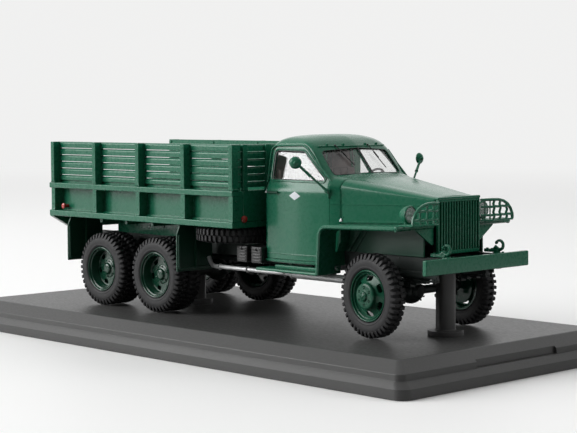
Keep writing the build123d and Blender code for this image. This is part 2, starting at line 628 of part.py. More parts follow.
def fender_top(x):
    """Height of the fender's top at x, rising a little to the front."""
    return 29.25 + (x + 12.9) * 0.0272


for name, s in (("right", -1), ("left", 1)):
    with BuildPart() as fender:
        # bent sheet: skirt behind the wheel, round corner, flat top
        t = FENDER_T
        with BuildSketch(side(s * FENDER_Y)) as strip:
            with BuildLine():
                f1 = Line((-16.9, 15.9), (-16.2, 26.2))
                f2 = ThreePointArc(f1 @ 1, (-15.2, 28.4), (-12.9, fender_top(-12.9)))
                f3 = Line(f2 @ 1, (12.8, fender_top(12.8)))
                f4 = Line(f3 @ 1, (12.8, fender_top(12.8) - t))
                f5 = Line(f4 @ 1, (-12.8, fender_top(-12.9) - t))
                f6 = ThreePointArc(f5 @ 1, (-14.6, 27.8), (-15.4, 26.1))
                f7 = Line(f6 @ 1, (-16.1, 15.9))
                Line(f7 @ 1, f1 @ 0)
            make_face()
        extrude(strip.sketch, amount=s * 14.4)
        # plan trim: the inner edge follows the hood and the cowl
        with BuildSketch(plan(10)) as keep:
            with BuildLine():
                Polyline((-30, s * 16.4), (-16.0, s * 16.4), (COWL_X, s * 14.4), (NOSE_X + 0.1, s * 8.6),
                         (NOSE_X + 0.1, s * 30), (-30, s * 30), close=True)
            make_face()
        extrude(keep.sketch, amount=30, mode=Mode.INTERSECT)
        # turned-down lips at the outer and front edges
        plate(side(s * FENDER_Y), s * 0.7, [(-15.2, 27.6), (-13.0, 28.1), (12.8, 28.9), (12.8, 29.5), (-13.0, 28.8)])
        slab(12.1, 12.8, min(s * 8.8, s * FENDER_Y), max(s * 8.8, s * FENDER_Y), 28.8, 29.6)
        # bracket at the nose and the apron along the frame
        plate(front(11.9), 0.6, [(s * 8.8, 24.9), (s * 9.6, 24.9), (s * 15.4, 28.6), (s * 15.4, 29.2), (s * 8.8, 29.2)])
        slab(-14.6, 11.9, min(s * 11.5, s * 12.1), max(s * 11.5, s * 12.1), 21.7, 28.9)
    save(fender, name + "_fender")

with BuildPart() as headlights:
    for s in (-1, 1):
        c = Vector(AXLE_X, s * 14.6, DECK_Z + 32.6)
        with BuildSketch(Plane(origin=c, x_dir=(1, 0, 0), z_dir=(0, -1, 0))) as bowl:
            with BuildLine():
                b1 = Line((9.2, 0), (9.2, 2.05))
                b2 = Line(b1 @ 1, (9.6, 2.05))
                b3 = Line(b2 @ 1, (9.6, 2.35))
                b4 = Line(b3 @ 1, (8.9, 2.35))
                b5 = ThreePointArc(b4 @ 1, (7.2, 1.7), (6.3, 0))
                Line(b5 @ 1, b1 @ 0)
            make_face()
        revolve(bowl.sketch, axis=Axis(c, (1, 0, 0)))
        disc(plan(29.9), (8.2, s * 14.6), 0.6, 1.6)
save(headlights, "headlights")

with BuildPart() as headlight_lenses:
    for s in (-1, 1):
        disc(front(9.22), (s * 14.6, 32.6), 2.0, 0.5)
save(headlight_lenses, "headlight_lenses")

with BuildPart() as headlight_guards:
    for s in (-1, 1):
        # outer hoop, then the crossing strips, then the two ties back to the grille
        with BuildSketch(front(14.8)) as hoop:
            with BuildLine():
                g1 = Line((s * 10.6, 30.0), (s * 20.4, 30.0))
                g2 = Line(g1 @ 1, (s * 20.4, 31.2))
                g3 = ThreePointArc(g2 @ 1, (s * 18.7, 34.4), (s * 14.4, 35.9))
                g4 = Line(g3 @ 1, (s * 10.6, 35.9))
                Line(g4 @ 1, g1 @ 0)
            make_face()
            offset(amount=-0.45, mode=Mode.SUBTRACT)
        extrude(hoop.sketch, amount=1.2)
        with BuildSketch(front(15.4)) as grid:
            for gy in (12.1, 14.8, 17.6):
                with Locations((s * gy, 33.0)):
                    Rectangle(0.55, 6.2)
            for gz in (31.5, 34.0):
                with Locations((s * 15.2, gz)):
                    Rectangle(9.6, 0.5)
            with BuildLine(mode=Mode.PRIVATE) as rim_line:
                Polyline((s * 10.4, 29.9), (s * 20.4, 29.9), (s * 20.4, 31.4), (s * 19.6, 33.4), (s * 17.6, 35.2),
                         (s * 14.4, 36.0), (s * 10.4, 36.0), close=True)
            make_face(rim_line.edges(), mode=Mode.INTERSECT)
        extrude(grid.sketch, amount=0.6)
        for z0, z1 in ((30.0, 30.45), (31.25, 31.75), (33.75, 34.25), (35.45, 35.9)):
            plate(plan(z0), z1 - z0, [(13.0, s * 8.35), (13.6, s * 8.35), (15.9, s * 10.7), (15.4, s * 11.1), (13.0, s * 9.0)])
        slab(10.5, 15.0, min(s * 19.9, s * 20.4), max(s * 19.9, s * 20.4), 29.95, 30.6)
save(headlight_guards, "headlight_guards")

with BuildPart() as mirrors:
    for s in (-1, 1):
        rod(((-18.3, s * 17.1, 37.9), (-21.6, s * 24.7, 45.4)), 0.35)
        with BuildSketch(Plane(origin=(AXLE_X - 22.2, s * 25.1, DECK_Z + 45.7), z_dir=(1, 0, 0))) as head:
            Circle(1.65)
        extrude(head.sketch, amount=0.8, taper=20)
save(mirrors, "mirrors")

with BuildPart() as running_boards:
    for s in (-1, 1):
        y0, y1 = sorted((s * 16.2, s * 22.0))
        slab(-41.2, -17.2, y0, y1, 15.4, 16.2)
        y0, y1 = sorted((s * 16.2, s * 18.6))
        slab(-37.0, -17.2, y0, y1, 16.2, 17.0)
        for bx in (-38.5, -20.0):
            y0, y1 = sorted((s * 11.2, s * 18.0))
            slab(bx - 0.5, bx + 0.5, y0, y1, 15.7, 16.2)
            y0, y1 = sorted((s * 10.3, s * 11.2))
            slab(bx - 0.5, bx + 0.5, y0, y1, 15.7, 17.6)
save(running_boards, "running_boards")
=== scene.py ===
import bpy, bmesh, math
from mathutils import Matrix, Vector


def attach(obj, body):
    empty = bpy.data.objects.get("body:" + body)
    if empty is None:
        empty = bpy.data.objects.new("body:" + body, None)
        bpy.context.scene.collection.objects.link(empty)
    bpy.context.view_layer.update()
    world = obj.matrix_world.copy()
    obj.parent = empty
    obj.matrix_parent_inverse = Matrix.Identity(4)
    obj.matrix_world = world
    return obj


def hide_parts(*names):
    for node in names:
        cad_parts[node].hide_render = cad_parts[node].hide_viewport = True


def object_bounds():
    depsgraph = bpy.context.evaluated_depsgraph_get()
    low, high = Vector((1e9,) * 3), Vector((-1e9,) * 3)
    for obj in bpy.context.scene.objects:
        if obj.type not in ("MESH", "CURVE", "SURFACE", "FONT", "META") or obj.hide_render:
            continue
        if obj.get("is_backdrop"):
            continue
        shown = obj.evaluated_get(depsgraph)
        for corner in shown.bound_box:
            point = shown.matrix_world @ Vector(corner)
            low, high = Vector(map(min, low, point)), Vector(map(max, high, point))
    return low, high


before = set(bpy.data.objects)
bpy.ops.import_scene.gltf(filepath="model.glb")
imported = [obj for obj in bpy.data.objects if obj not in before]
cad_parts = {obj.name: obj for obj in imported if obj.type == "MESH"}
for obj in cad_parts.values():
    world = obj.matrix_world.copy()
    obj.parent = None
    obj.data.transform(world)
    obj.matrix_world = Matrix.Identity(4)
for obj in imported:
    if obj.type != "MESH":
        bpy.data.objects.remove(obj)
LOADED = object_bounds()

# ------------------------------------------------------------------ sizes, in millimetres
# Truck sizes: x from the front axle, y from the middle, z from the top of the plinth.
AXLE_X, DECK_Z = 60.7, 8.7
MIDDLE_X, REAR_X, HUB_Z, HUB_Z_REAR = -82.5, -108.4, 11.35, 11.25
FRONT_Y, TWIN_OUT_Y, TWIN_IN_Y, STEER = 18.5, 22.7, 17.7, 6.5
TO_ROW = Matrix.Translation((AXLE_X / 1000, 0, DECK_Z / 1000)) @ Matrix.Scale(0.001, 4)
PLAIN = Matrix.Scale(0.001, 4)


# ------------------------------------------------------------------ mesh tools
class Shape:
    """Collects closed forms in millimetres, then becomes one piece."""

    def __init__(self):
        self.bm = bmesh.new()

    def join(self, other):
        mesh = bpy.data.meshes.new("join")
        other.to_mesh(mesh)
        other.free()
        self.bm.from_mesh(mesh)
        bpy.data.meshes.remove(mesh)
        return self

    def round_off(self, t, r, seg, angle=30):
        bmesh.ops.recalc_face_normals(t, faces=t.faces)
        if r > 0:
            edges = [e for e in t.edges if len(e.link_faces) == 2 and e.calc_face_angle(0) > math.radians(angle)]
            bmesh.ops.bevel(t, geom=edges, offset=r, offset_type="OFFSET", segments=seg, profile=0.5,
                            affect="EDGES", clamp_overlap=True)
        return self.join(t)

    def box(self, x0, x1, y0, y1, z0, z1, r=0.12, seg=2):
        x0, x1 = sorted((x0, x1)); y0, y1 = sorted((y0, y1)); z0, z1 = sorted((z0, z1))
        t = bmesh.new()
        v = [t.verts.new((x, y, z)) for x in (x0, x1) for y in (y0, y1) for z in (z0, z1)]
        for f in ((0, 1, 3, 2), (4, 6, 7, 5), (0, 4, 5, 1), (2, 3, 7, 6), (0, 2, 6, 4), (1, 5, 7, 3)):
            t.faces.new([v[i] for i in f])
        return self.round_off(t, min(r, (x1 - x0) * .45, (y1 - y0) * .45, (z1 - z0) * .45), seg)

    def prism(self, points, push, r=0.12, seg=2, angle=30):
        """A flat outline pushed along a vector."""
        t = bmesh.new()
        push = Vector(push)
        low = [t.verts.new(Vector(p)) for p in points]
        high = [t.verts.new(Vector(p) + push) for p in points]
        n = len(points)
        t.faces.new(low[::-1]); t.faces.new(high)
        for i in range(n):
            t.faces.new((low[i], low[(i + 1) % n], high[(i + 1) % n], high[i]))
        return self.round_off(t, r, seg, angle)

    def side(self, outline, y0, y1, r=0.12, seg=2, angle=30):
        """Side-view outline (x, z) between two widths."""
        return self.prism([(x, y0, z) for x, z in outline], (0, y1 - y0, 0), r, seg, angle)

    def plan(self, outline, z0, z1, r=0.12, seg=2, angle=30):
        return self.prism([(x, y, z0) for x, y in outline], (0, 0, z1 - z0), r, seg, angle)

    def front(self, outline, x0, x1, r=0.12, seg=2, angle=30):
        return self.prism([(x0, y, z) for y, z in outline], (x1 - x0, 0, 0), r, seg, angle)

    def lathe(self, rows, at=(0, 0, 0), along=(1, 0, 0), n=48, closed=False):
        """Rows of (distance along, radius). Radius 0 closes the end."""
        t = bmesh.new()
        a = Vector(along).normalized()
        u = a.orthogonal().normalized()
        if abs(a.z) < 0.9:
            u = Vector((0, 0, 1)) - a * a.z
            u.normalize()
        w = a.cross(u)
        at = Vector(at)
        rings = []
        for d, r in rows:
            if r < 1e-6:
                rings.append([t.verts.new(at + a * d)])
            else:
                rings.append([t.verts.new(at + a * d + (u * math.cos(k * math.tau / n) + w * math.sin(k * math.tau / n)) * r)
                              for k in range(n)])
        pairs = list(zip(rings, rings[1:])) + ([(rings[-1], rings[0])] if closed else [])
        for p, q in pairs:
            for k in range(n):
                m = (k + 1) % n
                if len(p) == 1 and len(q) == 1:
                    break
                if len(p) == 1:
                    t.faces.new((p[0], q[k], q[m]))
                elif len(q) == 1:
                    t.faces.new((p[k], q[0], p[m]))
                else:
                    t.faces.new((p[k], q[k], q[m], p[m]))
        bmesh.ops.recalc_face_normals(t, faces=t.faces)
        return self.join(t)

    def sweep(self, path, profile, up=(0, 0, 1), closed=False, scale=None):
        """Closed profile of (sideways, upward) offsets carried along a path."""
        t = bmesh.new()
        path = [Vector(p) for p in path]
        n = len(path)
        last = None
        rings = []
        for i, p in enumerate(path):
            if closed:
                d = path[(i + 1) % n] - path[i - 1]
            else:
                d = path[min(i + 1, n - 1)] - path[max(i - 1, 0)]
            d.normalize()
            v = Vector(up(i) if callable(up) else up)
            if last is not None and not callable(up):
                v = last
            s = d.cross(v)
            if s.length < 1e-6:
                s = d.orthogonal()
            s.normalize()
            v = s.cross(d).normalized()
            last = v
            # widen at corners so that the section keeps its size
            k = 1.0
            if 0 < i < n - 1 or closed:
                e0, e1 = (p - path[i - 1]).normalized(), (path[(i + 1) % n] - p).normalized()
                k = 1 / max(0.35, math.sqrt(max(0.0, (1 + e0.dot(e1)) / 2)))
            g = scale[i] if scale else 1.0
            turn = ((path[(i + 1) % n] - p).normalized() - (p - path[i - 1]).normalized()) if (0 < i < n - 1 or closed) else Vector()
            turn_s = abs(turn.normalized().dot(s)) if turn.length > 1e-6 else 0
            turn_v = abs(turn.normalized().dot(v)) if turn.length > 1e-6 else 0
            ks, kv = 1 + (k - 1) * turn_s, 1 + (k - 1) * turn_v
            rings.append([t.verts.new(p + s * (a * g * ks) + v * (b * g * kv)) for a, b in profile])
        m = len(profile)
        for a, b in list(zip(rings, rings[1:])) + ([(rings[-1], rings[0])] if closed else []):
            for j in range(m):
                t.faces.new((a[j], a[(j + 1) % m], b[(j + 1) % m], b[j]))
        if not closed:
            t.faces.new(rings[0][::-1]); t.faces.new(rings[-1])
        bmesh.ops.recalc_face_normals(t, faces=t.faces)
        return self.join(t)

    def tube(self, path, r, sides=12, closed=False, scale=None):
        circle = [(r * math.cos(k * math.tau / sides), r * math.sin(k * math.tau / sides)) for k in range(sides)]
        return self.sweep(path, circle, closed=closed, scale=scale)

    def band(self, path, w, h, up=(0, 0, 1), closed=False, r=None):
        """Flat strip with eased edges: w sideways, h upward."""
        r = min(w, h) * 0.3 if r is None else r
        a, b = w / 2, h / 2
        profile = [(-a + r, -b), (a - r, -b), (a, -b + r), (a, b - r), (a - r, b), (-a + r, b), (-a, b - r), (-a, -b + r)]
        return self.sweep(path, profile, up=up, closed=closed)

    def bolt(self, at, along, r=0.35, h=0.3, flats=6):
        a = Vector(along).normalized()
        return self.lathe([(-0.1, 0), (-0.1, r), (h * .7, r), (h, r * .72), (h, 0)], at, a, flats)

    def rivet(self, at, along, r=0.25, n=10):
        return self.lathe([(-0.1, 0), (-0.1, r), (0, r), (r * .45, r * .75), (r * .62, 0)], at, along, n)

    def ball(self, at, r, n=20, squash=1.0, along=(0, 0, 1)):
        rows = [(-r * squash * math.cos(k * math.pi / 10), r * math.sin(k * math.pi / 10)) for k in range(11)]
        rows[0], rows[-1] = (-r * squash, 0), (r * squash, 0)
        return self.lathe(rows, at, along, n)


def finish_mesh(bm, name, matrix, smooth):
    bmesh.ops.transform(bm, matrix=matrix, verts=bm.verts)
    mesh = bpy.data.meshes.new(name)
    bm.to_mesh(mesh)
    bm.free()
    mesh.polygons.foreach_set("use_smooth", [True] * len(mesh.polygons))
    mesh.set_sharp_from_angle(angle=math.radians(smooth))
    return mesh


def place(name, mesh, mat, body, replaces, matrix=None, weights=True):
    ob = bpy.data.objects.new(name, mesh)
    bpy.context.scene.collection.objects.link(ob)
    if mat is not None and not len(mesh.materials):
        mesh.materials.append(mat)
    if matrix is not None:
        ob.matrix_world = matrix
    if weights:
        m = ob.modifiers.new("weights", "WEIGHTED_NORMAL")
        m.keep_sharp = True
    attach(ob, body)
    if replaces:
        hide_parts(*([replaces] if isinstance(replaces, str) else replaces))
    return ob


def make(name, shape, mat, replaces=(), body="root", smooth=40, weights=True):
    return place(name, finish_mesh(shape.bm, name, TO_ROW, smooth), mat, body, replaces, None, weights)


def solid(bm_or_shape, name="solid"):
    """A temporary object in millimetres, for booleans."""
    mesh = bpy.data.meshes.new(name)
    bm = bm_or_shape.bm if isinstance(bm_or_shape, Shape) else bm_or_shape
    bmesh.ops.recalc_face_normals(bm, faces=bm.faces)
    bm.to_mesh(mesh)
    bm.free()
    ob = bpy.data.objects.new(name, mesh)
    bpy.context.scene.collection.objects.link(ob)
    return ob


def cut(target, cutter, how="DIFFERENCE", keep=False):
    m = target.modifiers.new("cut", "BOOLEAN")
    m.operation, m.solver, m.object = how, "EXACT", cutter
    m.use_self = False
    dg = bpy.context.evaluated_depsgraph_get()
    mesh = bpy.data.meshes.new_from_object(target.evaluated_get(dg))
    target.modifiers.clear()
    old = target.data
    target.data = mesh
    bpy.data.meshes.remove(old)
    if not keep:
        bpy.data.objects.remove(cutter)
    return target


def to_shape(ob):
    s = Shape()
    s.bm.from_mesh(ob.data)
    bpy.data.objects.remove(ob)
    return s


def arc(cx, cy, r, a0, a1, n):
    return [(cx + r * math.cos(math.radians(a0 + (a1 - a0) * k / n)), cy + r * math.sin(math.radians(a0 + (a1 - a0) * k / n)))
            for k in range(n + 1)]


def rounded(points, r, n=5):
    """Polygon with each corner turned on a radius (one number, or one for each corner)."""
    out = []
    m = len(points)
    for i, p in enumerate(points):
        q = r[i] if isinstance(r, (list, tuple)) else r
        p = Vector(p); a = Vector(points[i - 1]) - p; b = Vector(points[(i + 1) % m]) - p
        if q <= 0:
            out.append(tuple(p)); continue
        half = a.angle(b) / 2
        d = min(q / math.tan(half), a.length * .49, b.length * .49)
        s, e = p + a.normalized() * d, p + b.normalized() * d
        for k in range(n + 1):
            t = k / n
            # a conic close to the circle
            w = math.sin(half)
            c0, c1, c2 = (1 - t) ** 2, 2 * t * (1 - t) * w, t * t
            out.append(tuple((s * c0 + p * c1 + e * c2) / (c0 + c1 + c2)))
    return out


def lerp(a, b, t):
    return a + (b - a) * t


def table(x, rows):
    """Straight-line interpolation through (key, value) rows."""
    if x <= rows[0][0]:
        return rows[0][1]
    for (a, p), (b, q) in zip(rows, rows[1:]):
        if x <= b:
            return lerp(p, q, (x - a) / (b - a))
    return rows[-1][1]


def smooth_table(x, rows):
    """Cubic interpolation (monotone enough for short tables)."""
    n = len(rows)
    if x <= rows[0][0]:
        return rows[0][1]
    if x >= rows[-1][0]:
        return rows[-1][1]
    for i in range(n - 1):
        a, p = rows[i]; b, q = rows[i + 1]
        if x <= b:
            h = b - a
            d = (q - p) / h
            d0 = (p - rows[i - 1][1]) / (a - rows[i - 1][0]) if i > 0 else d
            d1 = (rows[i + 2][1] - q) / (rows[i + 2][0] - b) if i + 2 < n else d
            m0 = 0 if d * d0 <= 0 else 2 * d * d0 / (d + d0)
            m1 = 0 if d * d1 <= 0 else 2 * d * d1 / (d + d1)
            if i == 0:
                m0 = d
            if i == n - 2:
                m1 = d
            t = (x - a) / h
            return ((2 * t ** 3 - 3 * t * t + 1) * p + (t ** 3 - 2 * t * t + t) * h * m0
                    + (-2 * t ** 3 + 3 * t * t) * q + (t ** 3 - t * t) * h * m1)


# ------------------------------------------------------------------ materials
def material(name, dark, light, rough, grain=600, bump=0.05, specular=0.5, metallic=0.0, coat=0.0, coat_rough=0.05,
             stretch=(1, 1, 1), mottle=60, sheen=0.0):
    """Painted or moulded finish: colour mottling, roughness variation and fine surface relief from noise."""
    m = bpy.data.materials.new(name)
    m.use_nodes = True
    nt = m.node_tree
    bsdf = nt.nodes["Principled BSDF"]
    bsdf.inputs["Metallic"].default_value = metallic
    bsdf.inputs["Specular IOR Level"].default_value = specular
    bsdf.inputs["Coat Weight"].default_value = coat
    bsdf.inputs["Coat Roughness"].default_value = coat_rough
    bsdf.inputs["Sheen Weight"].default_value = sheen
    where = nt.nodes.new("ShaderNodeTexCoord")
    size = nt.nodes.new("ShaderNodeMapping")
    size.inputs["Scale"].default_value = stretch
    nt.links.new(where.outputs["Object"], size.inputs["Vector"])
    broad = nt.nodes.new("ShaderNodeTexNoise")
    broad.inputs["Scale"].default_value = mottle
    broad.inputs["Detail"].default_value = 3
    fine = nt.nodes.new("ShaderNodeTexNoise")
    fine.inputs["Scale"].default_value = grain
    fine.inputs["Detail"].default_value = 2
    for n in (broad, fine):
        nt.links.new(size.outputs["Vector"], n.inputs["Vector"])
    colour = nt.nodes.new("ShaderNodeMix")
    colour.data_type = "RGBA"
    colour.inputs["A"].default_value = (*dark, 1)
    colour.inputs["B"].default_value = (*light, 1)
    nt.links.new(broad.outputs["Fac"], colour.inputs["Factor"])
    nt.links.new(colour.outputs["Result"], bsdf.inputs["Base Color"])
    ramp = nt.nodes.new("ShaderNodeMapRange")
    ramp.inputs["From Min"].default_value = 0.3
    ramp.inputs["From Max"].default_value = 0.7
    ramp.inputs["To Min"].default_value = rough[0]
    ramp.inputs["To Max"].default_value = rough[1]
    nt.links.new(fine.outputs["Fac"], ramp.inputs["Value"])
    nt.links.new(ramp.outputs["Result"], bsdf.inputs["Roughness"])
    relief = nt.nodes.new("ShaderNodeBump")
    relief.inputs["Strength"].default_value = bump
    relief.inputs["Distance"].default_value = 0.0001
    nt.links.new(fine.outputs["Fac"], relief.inputs["Height"])
    nt.links.new(relief.outputs["Normal"], bsdf.inputs["Normal"])
    return m


def clear(name, tint, rough=0.02, dust_and_painted_sheen=0.03):
    """Thin clear plastic: see-through, with a Fresnel gloss and a whitish veil: faint dust on the panes, raised on the
    lamp lenses as a painted highlight.
    """
    m = bpy.data.materials.new(name)
    m.use_nodes = True
    nt = m.node_tree
    nt.nodes.remove(nt.nodes["Principled BSDF"])
    out = nt.nodes["Material Output"]
    see = nt.nodes.new("ShaderNodeBsdfTransparent")
    see.inputs["Color"].default_value = (*tint, 1)
    gloss = nt.nodes.new("ShaderNodeBsdfGlossy")
    gloss.inputs["Color"].default_value = (1, 1, 1, 1)
    gloss.inputs["Roughness"].default_value = rough
    veil = nt.nodes.new("ShaderNodeBsdfDiffuse")
    veil.inputs["Color"].default_value = (0.75, 0.77, 0.76, 1)
    # gloss that grows toward the edge, the same from both sides of the sheet
    facing = nt.nodes.new("ShaderNodeLayerWeight")
    facing.inputs["Blend"].default_value = 0.5
    power = nt.nodes.new("ShaderNodeMath")
    power.operation = "POWER"
    power.inputs[1].default_value = 4.0
    nt.links.new(facing.outputs["Facing"], power.inputs[0])
    fres = nt.nodes.new("ShaderNodeMapRange")
    fres.inputs["To Min"].default_value = 0.06
    fres.inputs["To Max"].default_value = 0.55
    nt.links.new(power.outputs["Value"], fres.inputs["Value"])
    # veil amount: faint dust on the window panes; on the lamp lenses it is raised to whiten the lens as a painted
    # highlight
    cloud = nt.nodes.new("ShaderNodeTexNoise")
    cloud.inputs["Scale"].default_value = 180
    amount = nt.nodes.new("ShaderNodeMapRange")
    amount.inputs["To Min"].default_value = 0.0
    amount.inputs["To Max"].default_value = dust_and_painted_sheen * 2
    where = nt.nodes.new("ShaderNodeTexCoord")
    nt.links.new(where.outputs["Object"], cloud.inputs["Vector"])
    nt.links.new(cloud.outputs["Fac"], amount.inputs["Value"])
    a = nt.nodes.new("ShaderNodeMixShader")
    b = nt.nodes.new("ShaderNodeMixShader")
    nt.links.new(amount.outputs["Result"], a.inputs["Fac"])
    nt.links.new(see.outputs["BSDF"], a.inputs[1])
    nt.links.new(veil.outputs["BSDF"], a.inputs[2])
    nt.links.new(fres.outputs["Result"], b.inputs["Fac"])
    nt.links.new(a.outputs["Shader"], b.inputs[1])
    nt.links.new(gloss.outputs["BSDF"], b.inputs[2])
    nt.links.new(b.outputs["Shader"], out.inputs["Surface"])
    return m


GREEN = material("green_enamel", (0.0085, 0.128, 0.068), (0.0105, 0.148, 0.079), (0.25, 0.31), grain=900, bump=0.018,
                 specular=0.36, coat=0.18, coat_rough=0.14, mottle=45)
# darker copy of the green enamel: painted shade for the parts that sit in shadow (wing aprons, mud flaps, cab floor,
# dashboard, door grips)
GREEN_PAINTED_SHADE = material("green_enamel_painted_shade", (0.004, 0.045, 0.024), (0.006, 0.060, 0.032), (0.35, 0.45), grain=900,
                    bump=0.06, specular=0.4, mottle=70)
# darker copy of the green enamel for the front wheel discs: painted shade standing in for the shadow on the wheels
WHEEL_GREEN_PAINTED_SHADE = material("green_enamel_wheel_painted_shade", (0.0060, 0.064, 0.034), (0.0080, 0.080, 0.043), (0.22, 0.30), grain=900, bump=0.018,
                       specular=0.22, coat=0.12, coat_rough=0.12, mottle=60)
# darkest copy of the green enamel for the twin wheel dishes: painted shade for the deep, shadowed dishes
TWIN_GREEN_PAINTED_SHADE = material("green_enamel_dish_painted_shade", (0.0034, 0.038, 0.020), (0.0050, 0.050, 0.027), (0.18, 0.26), grain=900, bump=0.018,
                      specular=0.4, coat=0.3, coat_rough=0.08, mottle=60)
RUBBER = material("tyre_rubber", (0.020, 0.020, 0.021), (0.032, 0.032, 0.033), (0.52, 0.66), grain=1500, bump=0.12,
                  specular=0.30, mottle=220)
BLACK = material("plinth_plastic", (0.050, 0.050, 0.0495), (0.060, 0.060, 0.059), (0.38, 0.50), grain=2600, bump=0.10,
                 specular=0.45, mottle=35, stretch=(0.35, 1, 1))
DARK = material("dark_chassis", (0.010, 0.016, 0.014), (0.022, 0.030, 0.027), (0.38, 0.55), grain=1200, bump=0.12,
                specular=0.4, mottle=160)
SILVER = material("silver_paint", (0.55, 0.56, 0.56), (0.68, 0.69, 0.69), (0.34, 0.44), grain=1600, bump=0.015,
                  metallic=0.35, mottle=200)
STEEL = material("plated_steel", (0.42, 0.42, 0.43), (0.55, 0.55, 0.56), (0.25, 0.35), grain=1600, bump=0.05,
                 metallic=1.0, mottle=200)
RED = material("red_lamp", (0.42, 0.012, 0.010), (0.58, 0.03, 0.02), (0.12, 0.2), grain=900, bump=0.05, coat=0.5, mottle=400)
BROWN = material("seat_leathercloth", (0.115, 0.078, 0.070), (0.19, 0.135, 0.125), (0.5, 0.65), grain=1400, bump=0.3,
                 specular=0.35, mottle=240)
TRIM = material("black_trim", (0.012, 0.012, 0.012), (0.022, 0.022, 0.022), (0.25, 0.4), grain=1200, bump=0.08, mottle=200)
WHITE = material("white_marking", (0.72, 0.74, 0.78), (0.82, 0.84, 0.88), (0.35, 0.45), grain=1200, bump=0.04, mottle=300)
REFLECTOR = material("bright_reflector", (0.80, 0.81, 0.82), (0.9, 0.9, 0.9), (0.06, 0.12), grain=800, bump=0.02,
                     metallic=1.0, mottle=300)
GLASS = clear("clear_pane", (0.985, 0.99, 0.988), 0.03, 0.012)
# lens veil set high: a painted highlight that whitens the lenses
LENS = clear("ribbed_lens", (0.92, 0.94, 0.93), 0.06, 0.32)


# ------------------------------------------------------------------ CAD parts carried over or eased
def dress(node, mat, ease=0.1, seg=2, body="root", extra=None, name=None):
    """A copy of a CAD part with its flats merged and its edges rounded, for the parts that are only half seen."""
    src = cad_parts[node]
    bm = bmesh.new()
    bm.from_mesh(src.data)
    bmesh.ops.transform(bm, matrix=TO_ROW.inverted() @ src.matrix_world, verts=bm.verts)
    bmesh.ops.remove_doubles(bm, verts=bm.verts, dist=0.002)
    bmesh.ops.dissolve_limit(bm, angle_limit=math.radians(4), verts=bm.verts, edges=bm.edges)
    shape = Shape()
    shape.bm.free()
    shape.bm = bmesh.new()
    if ease:
        edges = [e for e in bm.edges if len(e.link_faces) == 2 and e.calc_face_angle(0) > math.radians(35)
                 and e.calc_length() > 0.3]
        bmesh.ops.bevel(bm, geom=edges, offset=ease, offset_type="OFFSET", segments=seg, profile=0.5,
                        affect="EDGES", clamp_overlap=True)
    bad = [f for f in bm.faces if f.calc_area() < 1e-7]
    if bad:
        bmesh.ops.dissolve_degenerate(bm, dist=1e-4, edges=bm.edges)
    shape.join(bm)
    if extra is not None:
        shape.join(extra.bm)
    return make(name or node + "_skin", shape, mat, node, body)


# ------------------------------------------------------------------ plinth
def plinth_piece():
    t = bmesh.new()

    def ring(hx, hy, r, z, n=8):
        pts = []
        for cx, cy, a0 in ((hx - r, hy - r, 0), (-hx + r, hy - r, 90), (-hx + r, -hy + r, 180), (hx - r, -hy + r, 270)):
            for k in range(n + 1):
                a = math.radians(a0 + 90 * k / n)
                pts.append(t.verts.new((cx + r * math.cos(a), cy + r * math.sin(a), z)))
        return pts

    rows = [(87.25, 37.8, 1.0, 6.9), (87.35, 37.9, 1.0, 5.2), (91.0, 41.5, 1.2, 5.2), (91.1, 41.6, 1.2, 2.3),
            (93.25, 43.2, 1.6, 2.3), (93.35, 43.3, 1.6, 0.12), (93.45, 43.4, 1.7, 0.0),
            (95.05, 45.0, 3.0, 0.0), (95.2, 45.15, 3.15, 0.07), (95.25, 45.2, 3.2, 0.25), (95.25, 45.2, 3.2, 2.45),
            (95.2, 45.15, 3.15, 2.62), (95.05, 45.0, 3.1, 2.74), (93.4, 43.95, 2.5, 4.18), (93.12, 43.67, 2.3, 4.3),
            (93.05, 43.6, 2.2, 4.42), (93.05, 43.6, 2.2, 5.7), (93.0, 43.55, 2.2, 5.84), (92.85, 43.4, 2.15, 5.96),
            (89.6, 40.15, 1.3, 8.5), (89.42, 39.97, 1.2, 8.62), (89.2, 39.75, 1.1, 8.685), (88.95, 39.5, 1.0, 8.7)]
    rings = [ring(*r) for r in rows]
    for a, b in zip(rings, rings[1:]):
        for k in range(len(a)):
            m = (k + 1) % len(a)
            t.faces.new((a[k], a[m], b[m], b[k]))
    t.faces.new(rings[0][::-1])
    t.faces.new(rings[-1])
    bmesh.ops.recalc_face_normals(t, faces=t.faces)
    base = solid(t)
    notch = Shape().front([(-15.5, 4.42), (17.5, 4.42), (17.1, 7.3), (-15.1, 7.3)], 92.3, 94.8, 0.0)
    cut(base, solid(notch))
    s = to_shape(base)
    for px in (9.1, -92.0):        # screw bosses inside
        x = px + AXLE_X
        s.lathe([(7.0, 4.5), (1.2, 4.5), (1.0, 4.35), (1.0, 3.2), (1.15, 3.1), (5.0, 3.1), (5.0, 0)], (x, 0, 0), (0, 0, 1), 32)
    for x in (-60, -30, 0, 30, 60):      # moulded stiffening ribs inside
        if abs(x - 69.8) > 6 and abs(x + 31.3) > 6:
            s.box(x - 0.5, x + 0.5, -37.9, 37.9, 4.6, 6.95, 0.15, 1)
    place("plinth_moulding", finish_mesh(s.bm, "plinth_moulding", PLAIN, 34), BLACK, "root", "plinth")


plinth_piece()

posts = Shape()
for px, top in ((9.1, 17.6), (-92.0, 16.9)):
    posts.lathe([(0.0, 0), (0.0, 4.72), (0.1, 4.8), (1.2, 4.8), (1.36, 4.72), (1.42, 4.55), (1.44, 3.1), (1.55, 2.82), (1.85, 2.65),
                 (top - 0.12, 2.65), (top - 0.02, 2.5), (top - 0.02, 0)], (px, 0, 0.0), (0, 0, 1), 40)
make("posts_moulding", posts, BLACK, "support_posts")


